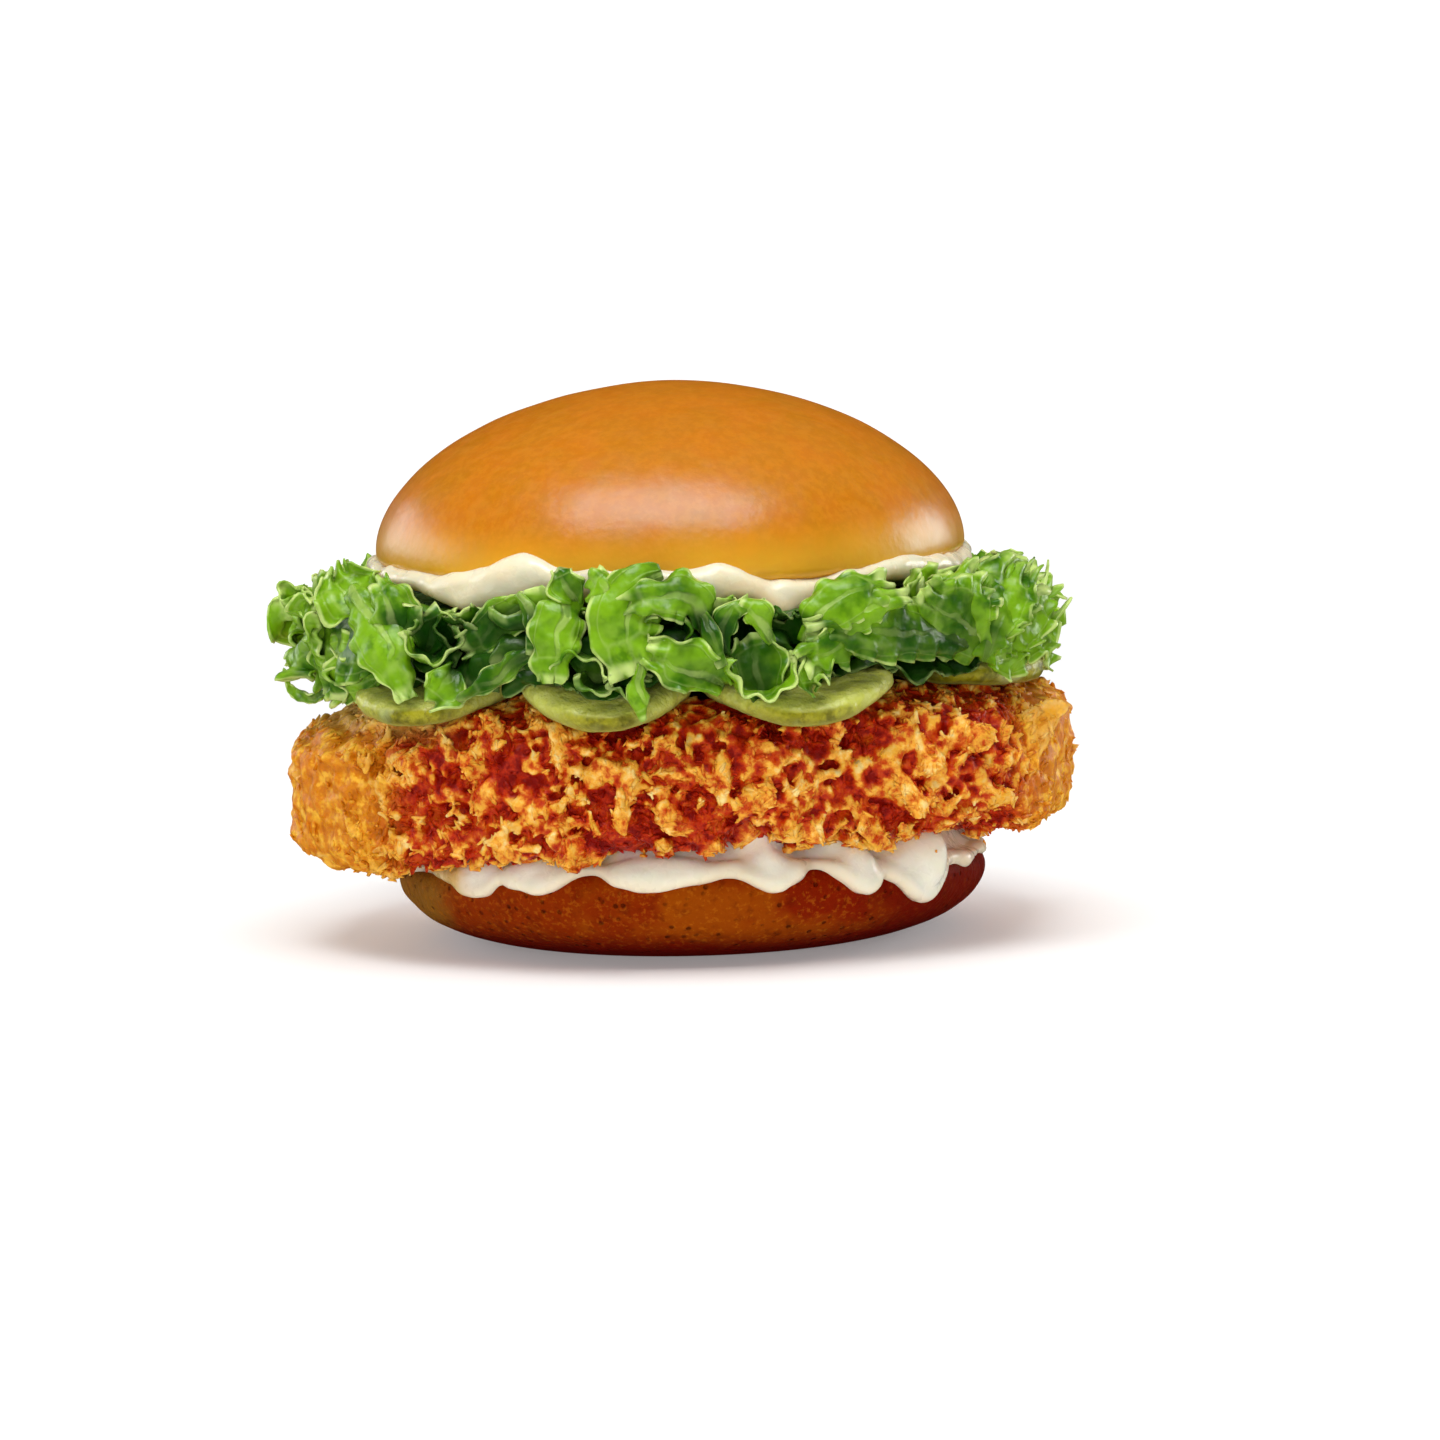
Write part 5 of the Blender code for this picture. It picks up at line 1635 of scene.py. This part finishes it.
LIGHTS = (  # name, width and depth, power, place, height of its aim, whether gloss shows it
    ("key", (0.6, 0.34), 4.2, (-0.02, -0.22, 0.64), 0.07, True),
    ("front_fill", (0.8, 0.3), 3.8, (-0.16, -1.1, 0.16), 0.03, False),
    ("left_side", (0.8, 0.3), 2.0, (-0.72, 0.36, 0.24), 0.06, True),
    ("right_side", (0.5, 0.3), 2.4, (0.76, 0.36, 0.22), 0.06, True),
    ("back_fill", (1.2, 0.6), 1.6, (0.2, 0.75, 0.9), 0.05, False),
)
FLOOR_FRONT, FLOOR_BACK, FLOOR_SIDE = -1.2, 0.8, 2.5  # places on Y, and half the floor's width
BACKDROP_BEND, BACKDROP_TOP = 0.5, 2.4  # radius of the bend, and height
LENS_MM, SENSOR_MM = 119, 36
MIDDLE = Vector((-1.2 * MM, 0, 45 * MM))  # what the camera's distance is measured from
AIM_RIGHT, AIM_DOWN = 7.9 * MM, 9.7 * MM  # where the camera looks, from the middle
CAMERA_ROLL = math.radians(1.3)


def soft_light(name, size, power, place, aim_height, gloss):
    """A rectangular softbox at a place, turned to a point over the floor's middle."""
    data = bpy.data.lights.new(name, "AREA")
    data.shape = "RECTANGLE"
    data.size, data.size_y = size
    data.energy = power
    light = linked(name, data)
    light.visible_glossy = gloss
    light.location = place
    light.rotation_euler = (Vector((0, 0, aim_height)) - Vector(place)).to_track_quat("-Z", "Y").to_euler()


def set_camera(settings):
    """A long lens in front, a little above level, with the burger a little above and left of the middle."""
    data = bpy.data.cameras.new("camera")
    data.lens = LENS_MM
    data.sensor_width = SENSOR_MM
    camera = linked("camera", data)
    rise = settings.elevation
    back = Vector((0, -math.cos(rise), math.sin(rise)))
    up = Vector((0, math.sin(rise), math.cos(rise)))
    camera.location = MIDDLE + back * settings.distance
    aim = MIDDLE + Vector((AIM_RIGHT, 0, 0)) - up * AIM_DOWN
    ahead = (aim - camera.location).normalized()
    side = ahead.cross(Vector((0, 0, 1))).normalized()
    turned = Matrix.Rotation(CAMERA_ROLL, 3, ahead) @ side
    camera.rotation_euler = Matrix((turned, turned.cross(ahead), -ahead)).transposed().to_euler()
    bpy.context.scene.camera = camera


def floor_mesh():
    """A floor that curves up into a backdrop."""
    bend = [
        (FLOOR_BACK + BACKDROP_BEND * math.sin(turn), BACKDROP_BEND * (1 - math.cos(turn)))
        for turn in np.linspace(0.1, RIGHT_ANGLE, 12)
    ]
    profile = [(FLOOR_FRONT, 0), (FLOOR_BACK, 0), *bend, (FLOOR_BACK + BACKDROP_BEND, BACKDROP_TOP)]
    points = [(x, y, z) for y, z in profile for x in (-FLOOR_SIDE, FLOOR_SIDE)]
    mesh = mesh_of("floor", points, grid_faces(len(profile), 2))
    mesh.shade_smooth()
    return mesh


def set_stage(settings):
    """A pale floor with its backdrop, soft lights, a dim white room and the camera."""
    look = Look("floor", Roughness=0.7, Specular_IOR_Level=0.1, Emission_Strength=1.0)
    colour = look.mix(look.patches(60, 0.3, 0.7) * 0.02, settings.floor, (0.74, 0.74, 0.74))
    glow = look.mix(look.between(look.part("Y"), 250.0, 1200.0), (0.2, 0.2, 0.2), (0.6, 0.6, 0.6))
    mesh = floor_mesh()
    mesh.materials.append(look.paint(Base_Color=colour, Emission_Color=glow))
    floor = linked("floor", mesh)
    floor.visible_glossy = False
    for light in LIGHTS:
        soft_light(*light)
    world = bpy.data.worlds.new("room")
    bpy.context.scene.world = world
    world.use_nodes = True
    sockets = world.node_tree.nodes["Background"].inputs
    sockets["Color"].default_value = (1, 1, 1, 1)
    sockets["Strength"].default_value = 0.15
    world.cycles_visibility.glossy = False
    bpy.context.scene.view_settings.view_transform = "Standard"
    set_camera(settings)


# ---- the add-on


class BURGER_OT_bun(bpy.types.Operator):
    """Make the crown and the heel of the bun"""

    bl_idname = "burger.bun"
    bl_label = "Bun"

    def execute(self, context):
        make_bun(context.scene.burger_bun)
        return {"FINISHED"}


class BURGER_OT_sauces(bpy.types.Operator):
    """Make the sauces over and under the filling"""

    bl_idname = "burger.sauces"
    bl_label = "Sauces"

    def execute(self, context):
        make_sauces(context.scene.burger_sauce)
        return {"FINISHED"}


class BURGER_OT_fillet(bpy.types.Operator):
    """Make the fillet's craggy fried coating"""

    bl_idname = "burger.fillet"
    bl_label = "Fillet"

    def execute(self, context):
        make_fillet(context.scene.burger_fillet)
        return {"FINISHED"}


class BURGER_OT_pickles(bpy.types.Operator):
    """Make the pickle slices"""

    bl_idname = "burger.pickles"
    bl_label = "Pickles"

    def execute(self, context):
        make_pickles(context.scene.burger_pickle)
        return {"FINISHED"}


class BURGER_OT_lettuce(bpy.types.Operator):
    """Make the frilled leaves round the burger"""

    bl_idname = "burger.lettuce"
    bl_label = "Lettuce"

    def execute(self, context):
        make_lettuce(context.scene.burger_lettuce)
        return {"FINISHED"}


class BURGER_OT_crumbs(bpy.types.Operator):
    """Scatter loose crumbs on the lower sauce"""

    bl_idname = "burger.crumbs"
    bl_label = "Crumbs"

    def execute(self, context):
        make_crumbs(context.scene.burger_crumb)
        return {"FINISHED"}


class BURGER_OT_stage(bpy.types.Operator):
    """Set up the floor, the lights and the camera"""

    bl_idname = "burger.stage"
    bl_label = "Stage"

    def execute(self, context):
        set_stage(context.scene.burger_stage)
        return {"FINISHED"}


SETTINGS = {
    "burger_bun": BunSettings,
    "burger_sauce": SauceSettings,
    "burger_fillet": FilletSettings,
    "burger_pickle": PickleSettings,
    "burger_lettuce": LettuceSettings,
    "burger_crumb": CrumbSettings,
    "burger_stage": StageSettings,
}
OPERATORS = (
    BURGER_OT_bun, BURGER_OT_sauces, BURGER_OT_fillet, BURGER_OT_pickles, BURGER_OT_lettuce, BURGER_OT_crumbs,
    BURGER_OT_stage,
)


class BURGER_PT_panel(bpy.types.Panel):
    """Lists the burger's pieces with their sizes and colours"""

    bl_label = "Burger"
    bl_idname = "BURGER_PT_panel"
    bl_space_type = "VIEW_3D"
    bl_region_type = "UI"
    bl_category = "Burger"

    def draw(self, context):
        for operator, (name, group) in zip(OPERATORS, SETTINGS.items()):
            box = self.layout.box()
            box.operator(operator.bl_idname)
            for key in group.__annotations__:
                box.prop(getattr(context.scene, name), key)


def register():
    for group in SETTINGS.values():
        bpy.utils.register_class(group)
    for name, group in SETTINGS.items():
        setattr(bpy.types.Scene, name, PointerProperty(type=group))
    for cls in (*OPERATORS, BURGER_PT_panel):
        bpy.utils.register_class(cls)


def unregister():
    for cls in reversed((*OPERATORS, BURGER_PT_panel)):
        bpy.utils.unregister_class(cls)
    for name in SETTINGS:
        delattr(bpy.types.Scene, name)
    for group in reversed(SETTINGS.values()):
        bpy.utils.unregister_class(group)


def main():
    register()
    for operator in (
        bpy.ops.burger.bun, bpy.ops.burger.sauces, bpy.ops.burger.fillet, bpy.ops.burger.pickles,
        bpy.ops.burger.lettuce, bpy.ops.burger.crumbs, bpy.ops.burger.stage,
    ):
        operator()


if __name__ == "__main__":
    main()
